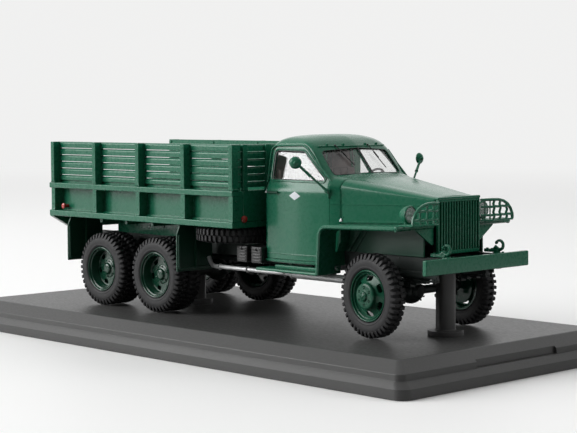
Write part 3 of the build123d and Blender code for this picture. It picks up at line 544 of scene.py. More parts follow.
# ------------------------------------------------------------------ wheels
def tyre_mesh(name, mids):
    s = Shape()
    for mid, flip in mids:
        out = (0, 1 if flip else -1, 0)
        rows = [(-1.66, 6.88), (-1.95, 7.0), (-2.12, 7.3), (-2.2, 7.55), (-2.14, 7.7), (-2.2, 7.95), (-2.26, 8.5), (-2.22, 9.1),
                (-2.12, 9.42), (-1.95, 9.75), (-1.6, 10.15), (-1.0, 10.35), (0, 10.42)]
        rows = rows + [(-d, r) for d, r in rows[-2::-1]]
        s.lathe(rows, (0, mid, 0), out, 96, closed=True)
        lug = [(0.1, 10.1), (0.1, 11.0), (0.22, 11.1), (1.42, 11.1), (1.62, 11.03), (1.86, 10.72), (2.12, 9.95), (2.2, 9.5), (1.8, 9.35)]
        one = bmesh.new()
        half = 0.43
        low = [one.verts.new((-half, y, r)) for y, r in lug]
        high = [one.verts.new((half, y, r)) for y, r in lug]
        n = len(lug)
        one.faces.new(low[::-1]); one.faces.new(high)
        for i in range(n):
            one.faces.new((low[i], low[(i + 1) % n], high[(i + 1) % n], high[i]))
        bmesh.ops.recalc_face_normals(one, faces=one.faces)
        edges = [e for e in one.edges if len(e.link_faces) == 2 and e.calc_face_angle(0) > math.radians(40)]
        bmesh.ops.bevel(one, geom=edges, offset=0.07, offset_type="OFFSET", segments=1, profile=0.5, affect="EDGES",
                        clamp_overlap=True)
        base = bpy.data.meshes.new("lug")
        one.to_mesh(base)
        one.free()
        for side in (-1, 1):
            for k in range(42):
                a = math.tau * (k + (0.5 if side > 0 else 0.0)) / 42
                t = bmesh.new()
                t.from_mesh(base)
                if side > 0:
                    bmesh.ops.scale(t, vec=(1, -1, 1), verts=t.verts)
                    bmesh.ops.reverse_faces(t, faces=t.faces)
                bmesh.ops.transform(t, matrix=Matrix.Translation((0, mid, 0)) @ Matrix.Rotation(a, 4, "Y"), verts=t.verts)
                s.join(t)
        bpy.data.meshes.remove(base)
    return finish_mesh(s.bm, name, PLAIN, 38)


def flange_rows():
    """Rolled outer edge of a rim and the groove inside it, as (outboard, radius)."""
    return [(-1.9, 6.85), (1.55, 6.85), (1.8, 6.83), (1.97, 6.72), (2.03, 6.58), (1.97, 6.44), (1.8, 6.35), (1.6, 6.31),
            (1.42, 6.27), (1.34, 6.16), (1.4, 6.05), (1.5, 5.95), (1.44, 5.84)]


def hand_hole(angle, r0, r1, w0, w1, y0, y1):
    pts = rounded([(-w0 / 2, r0), (w0 / 2, r0), (w1 / 2, r1), (-w1 / 2, r1)], [0.35, 0.35, 0.5, 0.5], 4)
    t = Shape()
    t.prism([(x, y0, z) for x, z in pts], (0, y1 - y0, 0), 0.0)
    bmesh.ops.transform(t.bm, matrix=Matrix.Rotation(math.radians(angle), 4, "Y"), verts=t.bm.verts)
    return t


def front_rim_mesh():
    out = (0, -1, 0)
    s = Shape()
    s.lathe(flange_rows() + [(1.2, 5.8), (0.95, 5.66), (0.8, 5.5), (0.3, 5.5), (0.1, 5.9), (-1.3, 6.2), (-1.9, 6.35)], (0, 0, 0), out, 72, closed=True)
    disc = Shape().lathe([(0.72, 5.62), (0.72, 5.35), (0.82, 5.1), (1.15, 4.5), (1.62, 3.7), (1.92, 3.3), (2.12, 3.12),
                          (2.38, 3.05), (2.5, 2.95), (2.5, 2.4), (2.0, 2.4), (1.7, 2.95), (1.0, 4.0), (0.45, 5.0), (0.35, 5.62)],
                         (0, 0, 0), out, 96, closed=True)
    disc = solid(disc)
    holes = Shape()
    for k in range(6):
        holes.join(hand_hole(60 * k, 3.95, 5.3, 2.0, 2.9, -3.0, 1.0).bm)
    cut(disc, solid(holes))
    s.join(to_shape(disc).bm)
    hub = solid(Shape().lathe([(2.0, 0), (2.0, 3.5), (2.45, 3.5), (2.66, 3.44), (2.8, 3.32), (2.9, 3.12), (2.96, 2.8), (3.0, 2.1),
                               (3.06, 1.5), (3.1, 1.36), (3.24, 1.28), (3.4, 1.22), (3.52, 1.08), (3.56, 0.82), (3.6, 0.5), (3.72, 0.36), (3.76, 0)],
                              (0, 0, 0), out, 64))
    wells = Shape()
    for k in range(6):
        a = math.radians(60 * k)
        wells.lathe([(2.72, 0), (2.72, 0.36), (3.4, 0.44), (3.4, 0)], (2.3 * math.sin(a), 0, 2.3 * math.cos(a)), out, 18)
    cut(hub, solid(wells))
    s.join(to_shape(hub).bm)
    for k in range(6):
        a = math.radians(60 * k)
        s.bolt((2.3 * math.sin(a), -2.72, 2.3 * math.cos(a)), out, 0.26, 0.3)
        a = math.radians(60 * k + 30)
        s.bolt((0.94 * math.sin(a), -3.53, 0.94 * math.cos(a)), out, 0.15, 0.16)
    s.lathe([(-1.8, 0), (-1.8, 4.8), (-1.7, 5.0), (-0.9, 5.0), (-0.75, 4.9), (-0.7, 3.3), (0.2, 3.2), (0.35, 3.0), (0.35, 0)], (0, 0, 0), out, 56)     # brake drum behind
    return finish_mesh(s.bm, "front_rim", PLAIN, 36)


def twin_rim_mesh():
    s = Shape()
    for mid, out in ((0.0, (0, -1, 0)), (5.0, (0, 1, 0))):
        s.lathe(flange_rows() + [(1.3, 5.78), (1.0, 5.72), (0.2, 5.6), (-0.9, 5.42), (-1.15, 5.3), (-1.6, 5.5), (-1.9, 6.0)],
                (0, mid, 0), out, 72, closed=True)
        disc = solid(Shape().lathe([(-0.95, 5.5), (-1.02, 5.2), (-1.06, 4.4), (-1.02, 3.5), (-0.98, 2.4), (-1.5, 2.4), (-1.6, 4.0), (-1.6, 5.5)],
                                   (0, mid, 0), out, 96, closed=True))
        holes = Shape()
        for k in range(6):
            holes.join(hand_hole(60 * k + 20, 3.75, 5.0, 1.5, 2.2, mid - 3, mid + 3).bm)
        cut(disc, solid(holes))
        s.join(to_shape(disc).bm)
    s.lathe([(-6.0, 0), (-6.0, 2.9), (-5.6, 3.15), (-1.7, 3.15), (-1.5, 3.0), (-1.35, 2.9), (-0.92, 2.85), (-0.8, 2.72), (-0.74, 2.4),
             (-0.7, 1.95), (-0.62, 1.72), (-0.5, 1.62), (-0.2, 1.55), (-0.02, 1.45), (0.08, 1.25), (0.1, 0.8), (0.16, 0.5), (0.18, 0)],
            (0, 0, 0), (0, -1, 0), 56)
    for k in range(6):
        a = math.radians(60 * k + 10)
        s.bolt((2.32 * math.sin(a), 0.76, 2.32 * math.cos(a)), (0, -1, 0), 0.28, 0.34)
        a = math.radians(60 * k + 40)
        s.bolt((1.05 * math.sin(a), -0.08, 1.05 * math.cos(a)), (0, -1, 0), 0.13, 0.12)
    return finish_mesh(s.bm, "twin_rim", PLAIN, 36)


def wheel_place(x, y, z, steer=0.0):
    m = Matrix.Translation(((AXLE_X + x) / 1000, y / 1000, (DECK_Z + z) / 1000)) @ Matrix.Rotation(math.radians(-steer), 4, "Z")
    return m @ Matrix.Rotation(math.pi, 4, "Z") if y > 0 else m


single = tyre_mesh("single_tyre", [(0.0, False)])
double = tyre_mesh("double_tyre", [(0.0, False), (5.0, False)])
front_rim, twin_rim = front_rim_mesh(), twin_rim_mesh()
for mesh, mat in ((single, RUBBER), (double, RUBBER), (front_rim, WHEEL_GREEN_PAINTED_SHADE), (twin_rim, TWIN_GREEN_PAINTED_SHADE)):
    mesh.materials.append(mat)
for corner, side, wx, wz in (("front_right", -1, 0.0, HUB_Z), ("front_left", 1, 0.0, HUB_Z),
                             ("middle_right", -1, MIDDLE_X, HUB_Z_REAR), ("middle_left", 1, MIDDLE_X, HUB_Z_REAR),
                             ("rear_right", -1, REAR_X, HUB_Z_REAR), ("rear_left", 1, REAR_X, HUB_Z_REAR)):
    is_front = corner.startswith("front")
    at = wheel_place(wx, side * (FRONT_Y if is_front else TWIN_OUT_Y), wz, STEER if is_front else 0.0)
    place(corner + "_tread", single if is_front else double, None, corner + "_wheel", corner + "_tyre", at)
    place(corner + "_wheel_disc", front_rim if is_front else twin_rim, None, corner + "_wheel", corner + "_rim", at)

spare = bpy.data.meshes.new("spare")
t = bmesh.new(); t.from_mesh(single); t.to_mesh(spare); t.free()
spare.polygons.foreach_set("use_smooth", [True] * len(spare.polygons))
spare.set_sharp_from_angle(angle=math.radians(38))
spare.materials.append(RUBBER)
flat = (Matrix.Translation(((AXLE_X - 58.9) / 1000, -0.0139, (DECK_Z + 24.3) / 1000)) @ Matrix.Rotation(math.radians(4), 4, "Z")
        @ Matrix.Rotation(math.radians(90), 4, "X"))
place("spare_tread", spare, None, "root", "spare_tyre", flat)
s = Shape()
s.lathe(flange_rows() + [(1.2, 5.78), (0.2, 5.6), (-0.2, 5.3), (-0.25, 3.4), (-0.2, 1.6), (-0.6, 1.6), (-0.65, 5.2), (-1.9, 6.2)],
        (-58.9, -13.9, 24.3), (0, 0, -1), 64, closed=True)
make("spare_disc", s, GREEN, "spare_rim")

# ------------------------------------------------------------------ cargo bed
BED_X0, BED_X1, BED_Y = -133.6, -46.4, 25.9
FLOOR_Z0, FLOOR_Z1, PANEL_Z1, RACK_Z1 = 26.8, 28.6, 37.3, 50.2
POST_X = [-131.7, -110.1, -88.9, -68.0, -47.25]
s = Shape()
s.box(BED_X0 + 0.1, BED_X1 - 0.1, -25.4, 25.4, FLOOR_Z0 + 0.02, FLOOR_Z1 - 0.18, 0.1, 2)
n = 11
for k in range(n):            # floor boards
    w = 43.3 / n
    y = -21.65 + w * k
    s.box(BED_X0 + 0.9, BED_X1 - 0.9, y + 0.05, y + w - 0.05, FLOOR_Z1 - 0.6, FLOOR_Z1 + 0.19, 0.12, 1)
for sgn in (-1, 1):
    s.box(BED_X0, BED_X1, sgn * 21.7, sgn * BED_Y, FLOOR_Z0, FLOOR_Z1, 0.28, 3)
    s.box(-117.0, -71.5, sgn * 10.3 - 1.1, sgn * 10.3 + 1.1, 21.6, FLOOR_Z0 + 0.2, 0.15)
    for k in range(7):
        s.bolt((-114.0 + 6.7 * k, sgn * 11.4, 24.3), (0, sgn, 0), 0.32, 0.3)
for cx in (-125.5, -113.0, -100.5, -88.0, -75.5, -62.0):
    s.box(cx - 0.6, cx + 0.6, -21.0 if cx not in (-62.0,) else -5.0, 21.0, 25.2, FLOOR_Z0 + 0.2, 0.12)
s.front([(-25.9, 27.0), (-25.9, 26.6), (-18.8, 22.7), (18.8, 22.7), (25.9, 26.6), (25.9, 27.0)], -133.2, -131.4, 0.12)
s.box(-47.6, -46.4, -12.0, 12.0, 21.6, FLOOR_Z0 + 0.2, 0.12)
make("load_floor", s, GREEN, "cargo_floor")



def slat_section(inner, outer, low, top):
    """Flat board with a sloped and rounded outer top edge."""
    d = outer - inner
    return [(inner, low), (outer - 0.08, low), (outer, low + 0.08), (outer, top - 0.66), (outer - 0.05 * d, top - 0.5), (outer - 0.17 * d, top - 0.3),
            (outer - 0.36 * d, top - 0.12), (outer - 0.58 * d, top - 0.02), (outer - 0.75 * d, top), (inner + 0.08, top), (inner, top - 0.08)]


for word, sgn in (("right", -1), ("left", 1)):
    s = Shape()

    def lane(x0, x1, a, b, z0, z1, r=0.1, seg=2):
        s.box(x0, x1, sgn * a, sgn * b, z0, z1, r, seg)
    lane(BED_X0 + .05, BED_X1 - .05, 21.7, 22.7, FLOOR_Z1 - 0.1, PANEL_Z1 - 0.1, 0.1)
    lane(BED_X0, BED_X1, 21.7, BED_Y, 35.6, PANEL_Z1, 0.3, 3)
    lane(BED_X0, BED_X1, 22.6, 23.3, FLOOR_Z1 - 0.1, 29.0, 0.12, 2)
    lane(-132.4, BED_X1 - 0.2, 22.75, 23.0, PANEL_Z1 - 0.2, PANEL_Z1 + 0.95, 0.06, 1)
    for px in POST_X:
        x0, x1 = max(px - 0.95, BED_X0), min(px + 0.95, BED_X1)
        lane(x0, x1, 22.5, 25.75, FLOOR_Z1 - 0.05, 35.7, 0.14, 2)
        lane(x0 - .02, x1 + .02, 22.5, 25.82, FLOOR_Z1 - 0.05, 29.1, 0.16, 2)
        for z in (30.3, 34.0):
            s.rivet((px, sgn * 25.75, z), (0, sgn, 0), 0.22)
        if px > -130:
            for z in (30.0, 32.2, 34.4):
                s.rivet((px + 0.95 if px > -48 else px - 0.95, sgn * 24.2, z), (1 if px > -48 else -1, 0, 0), 0.24)
    for z in (27.4, 29.8, 32.2, 34.6):
        s.rivet((BED_X1 if z > FLOOR_Z1 else BED_X1, sgn * 24.6, z), (1, 0, 0), 0.24)
    make(word + "_side_boards", s, GREEN, word + "_side_panel")
    s = Shape()
    for k in range(6):
        top, low = RACK_Z1 - 2.1 * k, RACK_Z1 - 2.1 * k - (1.92 if k < 5 else 1.6)
        s.prism([(-132.5, sgn * y, z) for y, z in slat_section(22.7, 23.62, low, top)], (86.0, 0, 0), 0.05, 1, 60)
    for px in POST_X:
        lane(px - 0.85, px + 0.85, 23.45, BED_Y, PANEL_Z1 - 0.1, RACK_Z1 + 0.0, 0.16, 3)
        lane(px - 1.02, px + 1.02, 23.2, BED_Y, PANEL_Z1 - 0.05, PANEL_Z1 + 0.5, 0.2, 3)
        lane(px - 0.6, px + 0.6, 22.45, 22.75, RACK_Z1 - 12.5, RACK_Z1 - 0.4, 0.08, 1)
        for k in range(6):
            z = RACK_Z1 - 2.1 * k - 1.1
            s.rivet((px, sgn * BED_Y, z), (0, sgn, 0), 0.17, 8)
            s.rivet((px, sgn * 22.45, z), (0, -sgn, 0), 0.2, 8)
    make(word + "_stake_rack", s, GREEN, word + "_rack")

s = Shape()
s.box(-47.4, -46.5, -21.7, 21.7, FLOOR_Z1 - 0.1, PANEL_Z1, 0.22, 3)
for ty in (-20.8, -11.8, 0.0, 11.8, 20.8):
    s.box(-46.6, -46.45, ty - 0.9, ty + 0.9, FLOOR_Z1, PANEL_Z1 - 0.3, 0.06, 1)
    s.box(-48.0, -47.3, ty - 0.9, ty + 0.9, FLOOR_Z1, PANEL_Z1 - 0.5, 0.12, 2)
make("headboard_panel", s, GREEN, "headboard")
s = Shape()
s.box(-133.5, -132.6, -21.7, 21.7, FLOOR_Z1 - 0.1, PANEL_Z1, 0.22, 3)
for ty in (-14.0, 0.0, 14.0):
    s.box(-132.75, -132.1, ty - 0.7, ty + 0.7, FLOOR_Z1, PANEL_Z1 - 0.2, 0.15)
    s.box(-133.6, -133.3, ty - 0.9, ty + 0.9, 27.6, PANEL_Z1 - 1.2, 0.12)
    s.lathe([(-1.5, 0), (-1.5, 0.42), (-1.4, 0.5), (1.4, 0.5), (1.5, 0.42), (1.5, 0)], (-133.1, ty, 28.75), (0, 1, 0), 16)
s.box(-133.6, -133.35, -21.4, 21.4, 36.2, 37.1, 0.12)
make("tailgate_panel", s, GREEN, "tailgate")
s = Shape()
for k in range(6):
    top, low = RACK_Z1 - 2.1 * k, RACK_Z1 - 2.1 * k - (1.92 if k < 5 else 1.6)
    s.prism([(x, -22.62, z) for x, z in slat_section(-48.25, -47.38, low, top)], (0, 45.24, 0), 0.05, 1, 60)
for ty in (-20.8, -11.8, 0.0, 11.8, 20.8):
    s.box(-47.42, -46.45, ty - 0.9, ty + 0.9, PANEL_Z1 - 0.05, RACK_Z1, 0.16, 3)
    s.box(-47.6, -46.4, ty - 1.05, ty + 1.05, PANEL_Z1 - 0.05, PANEL_Z1 + 0.45, 0.18, 3)
    for k in range(6):
        s.rivet((-46.45, ty, RACK_Z1 - 2.1 * k - 1.1), (1, 0, 0), 0.17, 8)
make("front_stake_rack", s, GREEN, "front_rack")

s = Shape()
for gx in (-70.9, -124.1):
    for sgn in (-1, 1):
        s.front([(sgn * 12.5, 13.1), (sgn * 26.0, 13.1), (sgn * 26.0, 24.1), (sgn * 24.7, 26.9), (sgn * 12.5, 26.9)], gx, gx + 0.6, 0.17, 3)
        s.box(gx + 0.5, gx + 1.0, sgn * 13.3, sgn * 25.3, 13.7, 14.4, 0.15)
        s.box(gx + 0.5, gx + 1.3, sgn * 18.6, sgn * 19.5, 13.7, 26.8, 0.15)
        s.box(gx + 0.5, gx + 1.0, sgn * 25.0, sgn * 25.7, 14.0, 23.8, 0.15)
make("mud_flaps", s, GREEN_PAINTED_SHADE, "mud_guards")

s = Shape()
for sgn in (-1, 1):
    s.lathe([(0, 0), (0, 0.98), (0.35, 1.0), (0.5, 0.9), (0.55, 0.72), (0.62, 0.7), (0.7, 0.5), (0.74, 0)], (BED_X1 + 0.02, sgn * 21.6, 29.3), (1, 0, 0), 28)
    s.lathe([(0, 0), (0, 0.55), (1.5, 0.55), (1.55, 0.85), (2.0, 0.88), (2.12, 0.74), (2.18, 0.5), (2.22, 0)], (-127.9, sgn * 22.7, 29.9), (0, sgn, 0), 28)
make("lamp_reflectors", s, RED, "reflectors")


# ------------------------------------------------------------------ cab
CAB_W = [(17.0, 18.0), (36.6, 18.0), (37.4, 17.97), (38.0, 17.84), (38.5, 17.62), (39.0, 17.36), (39.6, 17.1), (40.2, 16.93), (44.0, 16.26),
         (47.0, 15.72), (48.4, 15.42), (49.3, 15.28), (50.1, 15.05), (50.8, 14.65), (51.4, 14.0), (51.9, 13.1), (52.3, 11.8), (52.6, 10.0),
         (52.8, 7.7), (52.93, 4.7), (53.0, 0.0)]
CAB_BACK = [(17.0, -42.7), (46.8, -42.7), (48.0, -42.66), (49.0, -42.56), (49.9, -42.35), (50.7, -42.0), (51.4, -41.35), (51.9, -40.5),
            (52.3, -39.4), (52.6, -38.0), (52.8, -36.4), (52.93, -34.3), (53.0, -31.2)]
CAB_FRONT = [(17.0, -17.2), (41.4, -17.2), (42.2, -17.05), (49.3, -23.05), (50.0, -23.7), (50.7, -24.5), (51.3, -25.3), (51.8, -26.2),
             (52.2, -27.1), (52.5, -28.0), (52.75, -29.1), (52.92, -30.1), (53.0, -31.2)]
BULGE = [(-41.6, 0.983), (-39.2, 0.985), (-36.0, 0.995), (-30.5, 1.0), (-25.0, 0.978), (-21.0, 0.943), (-17.9, 0.906), (-15.0, 0.836)]


SWEEP = 2.05


def cab_half(x, z):
    return smooth_table(z, CAB_W) * smooth_table(x, BULGE)


def screen_x(y, z, inset=0.0):
    """Front of the windscreen at a height, swept back a little to each side."""
    s = min(1.0, max(0.0, (z - 40.8) / 1.4))
    return table(z, CAB_FRONT) - SWEEP * s * (abs(y) / 13.0) ** 1.15 - inset


def cab_section(z, shrink=0.0):
    """Closed plan outline at one height: sides with a bulge, rounded corners, veed front."""
    half, back, front = smooth_table(z, CAB_W), table(z, CAB_BACK), table(z, CAB_FRONT)
    top = min(1.0, max(0.0, (z - 48.2) / 4.2))
    room = max(0.02, min(half, (front - back) / 2)) * 0.985
    rb = min(room, 2.3 + 1.8 * top)
    rf = min(room, (0.9 if z < 41 else 1.7) + 4.2 * top)
    pts = []
    for k in range(61):           # right side, back to front
        pts.append((lerp(back + rb, front - rf, k / 60), -half))
    pts += [(front - rf + rf * math.sin(a), -half + rf - rf * math.cos(a)) for a in [math.radians(90 * k / 9) for k in range(1, 9)]]
    for k in range(41):
        pts.append((front, lerp(-half + rf, half - rf, k / 40)))
    pts += [(front - rf + rf * math.cos(a), half - rf + rf * math.sin(a)) for a in [math.radians(90 * k / 9) for k in range(1, 9)]]
    for k in range(61):
        pts.append((lerp(front - rf, back + rb, k / 60), half))
    pts += [(back + rb - rb * math.sin(a), half - rb + rb * math.cos(a)) for a in [math.radians(90 * k / 9) for k in range(1, 9)]]
    for k in range(31):
        pts.append((back, lerp(half - rb, -half + rb, k / 30)))
    pts += [(back + rb - rb * math.cos(a), -half + rb - rb * math.sin(a)) for a in [math.radians(90 * k / 9) for k in range(1, 9)]]
    s = min(1.0, max(0.0, (z - 40.8) / 1.4))
    out = []
    for x, y in pts:
        y *= smooth_table(x, BULGE)
        near = min(1.0, max(0.0, (x - (front - 6.0)) / 6.0)) ** 2
        out.append((x - SWEEP * s * near * (min(abs(y), 16) / 13.0) ** 1.15, y))
    return out


def cab_skin():
    t = bmesh.new()
    levels = [17.7, 18.4, 20.0, 24.0, 28.0, 32.0, 35.0, 36.6] + [36.9 + 0.25 * k for k in range(15)] + [40.8 + 0.35 * k for k in range(5)]
    levels += [42.8 + 0.8 * k for k in range(7)] + [48.0 + 0.2 * k for k in range(16)]
    levels += [51.15, 51.35, 51.5, 51.65, 51.8, 51.95, 52.1, 52.25, 52.4, 52.5, 52.6, 52.7, 52.78, 52.85, 52.91, 52.95, 52.98, 52.995]
    levels = sorted(set(round(v, 4) for v in levels))
    rings = [[t.verts.new((x, y, z)) for x, y in cab_section(z)] for z in levels]
    # inner wall: the same form drawn in about its own middle
    k = Vector(((24.4 - 1.7) / 24.4, (18.0 - 0.85) / 18.0, (53.0 - 0.85 - 17.7) / (53.0 - 17.7)))
    inside = [[t.verts.new((-29.4 + (v.co.x + 29.4) * k.x, v.co.y * k.y, 17.7 + (v.co.z - 17.7) * k.z)) for v in ring] for ring in rings]
    for rows in (rings, inside, (rings[0], inside[0])):
        for a, b in zip(rows, rows[1:]):
            for i in range(len(a)):
                m = (i + 1) % len(a)
                t.faces.new((a[i], a[m], b[m], b[i]))
    t.faces.new(rings[-1])
    t.faces.new(inside[-1])
    return solid(t, "cab_skin")


DOOR = [(-41.2, 18.6), (-41.2, 49.4), (-28.3, 49.75), (-17.9, 39.9), (-17.9, 18.6)]
DOOR_R = [0.6, 1.6, 3.2, 1.0, 0.4]
SIDE_WINDOW = [(-39.9, 40.6), (-39.75, 48.45), (-28.4, 48.4), (-19.6, 40.5)]
SIDE_WINDOW_R = [0.7, 1.1, 2.7, 0.5]


def offset_outline(points, d):
    """Outline moved outward by d (d < 0 moves it in). The outline is convex."""
    n = len(points)
    c = Vector((sum(p[0] for p in points) / n, sum(p[1] for p in points) / n))
    out = []
    for i in range(n):
        p, a, b = Vector(points[i]), Vector(points[i - 1]), Vector(points[(i + 1) % n])
        e = (b - a)
        if e.length < 1e-9:
            out.append(tuple(p)); continue
        nrm = Vector((e.y, -e.x)).normalized()
        if nrm.dot(p - c) < 0:
            nrm = -nrm
        out.append(tuple(p + nrm * d))
    return out


def dense(points, step=0.5, closed=True):
    out = []
    n = len(points)
    for i in range(n if closed else n - 1):
        a, b = Vector(points[i]), Vector(points[(i + 1) % n])
        m = max(1, int((b - a).length / step))
        out += [tuple(a.lerp(b, k / m)) for k in range(m)]
    if not closed:
        out.append(tuple(points[-1]))
    return out


door_line = rounded(DOOR, DOOR_R, 8)
window_line = rounded(SIDE_WINDOW, SIDE_WINDOW_R, 8)
PANE = [(0.15, 42.45), (13.4, 42.05), (12.9, 48.5), (0.15, 49.2)]
PANE_R = [0.25, 0.9, 1.3, 0.25]


def pane_line(sgn, grow=0.0):
    return [(sgn * y, z) for y, z in offset_outline(rounded(PANE, PANE_R, 6), grow)]


shell = cab_skin()
cutter = Shape()
for sgn in (-1, 1):
    cutter.side(window_line, sgn * 11.0, sgn * 20.0, 0.0)
    cutter.front(pane_line(sgn), -27.6, -14.0, 0.0)
rear_line = rounded([(-7.0, 43.3), (7.0, 43.3), (7.0, 47.9), (-7.0, 47.9)], 0.9, 5)
cutter.front(rear_line, -45.0, -39.5, 0.0)
cut(shell, solid(cutter, "windows"))

doors = {}
for word, sgn in (("right", -1), ("left", 1)):
    keep = Shape().side(offset_outline(door_line, -0.07), sgn * 12.5, sgn * 20.0, 0.0)
    blank = shell.copy()
    blank.data = shell.data.copy()
    bpy.context.scene.collection.objects.link(blank)
    cut(blank, solid(keep, "door_form"), "INTERSECT")
    doors[word] = blank
for sgn in (-1, 1):
    cut(shell, solid(Shape().side(offset_outline(door_line, 0.07), sgn * 12.5, sgn * 20.0, 0.0), "doorway"))


def on_side(sgn, x, z, proud=0.0):
    return (x, sgn * (cab_half(x, z) + proud), z)


for word, sgn in (("right", -1), ("left", 1)):
    s = to_shape(doors[word])
    # raised bead round the window, crease low down, handle and hinges
    path = [on_side(sgn, x, z, 0.02) for x, z in dense(offset_outline(window_line, 0.42), 0.45)]
    s.tube(path, 0.24, 8, closed=True)
    path = [on_side(sgn, x, 20.15, 0.0) for x in [lerp(-40.9, -18.2, k / 24) for k in range(25)]]
    s.tube(path, 0.16, 8)
    for z in (24.0, 37.0):
        s.lathe([(-0.9, 0), (-0.9, 0.28), (-0.8, 0.36), (0.8, 0.36), (0.9, 0.28), (0.9, 0)], on_side(sgn, -18.05, z, 0.12), (0, 0, 1), 14)
    make(word + "_door_skin", s, GREEN, word + "_door", smooth=32)
    # grip in the darker painted-shade green, with a bright tip
    g = Shape()
    g.band([on_side(sgn, x, 37.05, 0.55) for x in (-40.3, -39.4, -38.2, -37.0, -36.0)], 0.42, 0.62, up=(0, 0, 1))
    g.lathe([(-0.1, 0), (-0.1, 0.42), (0.2, 0.42), (0.3, 0.3), (0.6, 0.26), (0.6, 0)], on_side(sgn, -39.8, 37.05, 0.0), (0, sgn, 0), 16)
    make(word + "_door_grip", g, GREEN_PAINTED_SHADE)
    tip = Shape()
    tip.ball(on_side(sgn, -40.75, 37.05, 0.5), 0.34, 16)
    make(word + "_grip_tip", tip, SILVER)

s = to_shape(shell)
for sgn in (-1, 1):
    # gutter bead: up behind the door, over the window and down the pillar
    edge = offset_outline(door_line, 0.42)
    run = [p for p in dense(edge, 0.35) if p[1] > 39.4]
    start = min(range(len(run)), key=lambda i: (run[i][0] + 41) ** 2 + (run[i][1] - 39.4) ** 2)
    run = run[start:] + run[:start]
    if run[1][1] < run[0][1]:
        run = [run[0]] + run[:0:-1]
    s.tube([on_side(sgn, x, z, 0.05) for x, z in run], 0.27, 8)
    # pillar's second bead, beside the windscreen
    s.tube([(screen_x(14.2, z) - 0.75, sgn * (cab_half(screen_x(14.2, z) - 0.75, z) + 0.02), z) for z in [42.4 + 0.55 * k for k in range(12)]], 0.2, 8)
    # small roof bumps that the wipers hang from
    for y in (4.4, 9.9):
        s.lathe([(-0.4, 0), (-0.4, 0.42), (0.3, 0.38), (0.52, 0.2), (0.56, 0)], (screen_x(y, 49.9) - 0.15, sgn * y, 50.1), (0.62, 0, 0.78), 14)
# drip ledge over the windscreen
path = [(screen_x(y, 49.75, -0.1), y, 49.75) for y in [lerp(-13.2, 13.2, k / 40) for k in range(41)]]
s.tube(path, 0.22, 8)
# back wall pressings and the frame of the rear window
s.tube([(-42.72, y, z) for y, z in dense(offset_outline(rear_line, 0.4), 0.5)], 0.2, 8, closed=True)
for z in (27.0, 33.0, 39.0):
    s.tube([(-42.7, y, z) for y in [lerp(-13.5, 13.5, k / 20) for k in range(21)]], 0.22, 8)
# sill under the doors
for sgn in (-1, 1):
    s.band([on_side(sgn, x, 18.15, 0.03) for x in [lerp(-41.9, -18.0, k / 24) for k in range(25)]], 0.3, 0.5, up=(0, 0, 1))
make("cab_body", s, GREEN, "cab_shell", smooth=32)


# cowl between the doors and the hood
def hood_profile(half, base, crease, top, mid, n=14):
    """Half-outline mirrored: straight side, turned shoulder, crowned top. Returns (y, z) from right base to left base."""
    pts = [(-half, base), (-half, lerp(base, crease, 0.35)), (-half, lerp(base, crease, 0.7)), (-half, lerp(base, crease, 0.9))]
    a, b, c = Vector((-half, crease)), Vector((-half * 0.955, lerp(crease, top, 1.12))), Vector((-half * 0.66, top + (mid - top) * 0.22))
    for k in range(n + 1):
        q = k / n
        pts.append(tuple(a * (1 - q) ** 2 + b * 2 * q * (1 - q) + c * q * q))
    for k in range(1, 11):
        q = k / 10
        y = lerp(-half * 0.66, 0, q)
        pts.append((y, lerp(top + (mid - top) * 0.22, mid, 1 - (y / (half * 0.66)) ** 2)))
    return pts + [(-y, z) for y, z in pts[-2::-1]]


def loft(s, sections, closed_ends=True):
    t = bmesh.new()
    rings = [[t.verts.new(p) for p in sec] for sec in sections]
    for a, b in zip(rings, rings[1:]):
        for k in range(len(a)):
            m = (k + 1) % len(a)
            t.faces.new((a[k], a[m], b[m], b[k]))
    if closed_ends:
        t.faces.new(rings[0][::-1]); t.faces.new(rings[-1])
    bmesh.ops.recalc_face_normals(t, faces=t.faces)
    return s.join(t)


s = Shape()
sections = []
for x in (-18.6, -17.86, -17.84, -17.76, -17.3, -16.6, -15.9, -15.3, -15.12, -15.06):
    inset = 0.1 if x <= -17.86 else (0.0 if x < -15.2 else (0.03 if x < -15.1 else 0.12))
    half = 18.0 * smooth_table(x, BULGE) - inset
    q = (x + 15.0) / -2.9
    sections.append([(x, y, z) for y, z in hood_profile(half, 21.7 if x < -15.5 else 24.0, lerp(38.8, 39.1, q) - inset, lerp(41.05, 41.75, q) - inset,
                                                         lerp(42.0, 42.5, q) - inset)])
loft(s, sections)
for sgn in (-1, 1):
    s.band([(x, sgn * (18.0 * smooth_table(x, BULGE) + 0.02), 34.5) for x in (-17.7, -16.8, -15.9, -15.2)], 0.18, 0.36)
# ledge at the foot of the windscreen
s.tube([(screen_x(y, 42.0, -0.12), y, 42.0 - 0.03 * abs(y)) for y in [lerp(-13.6, 13.6, k / 30) for k in range(31)]], 0.25, 8)
make("cowl_panel", s, GREEN)

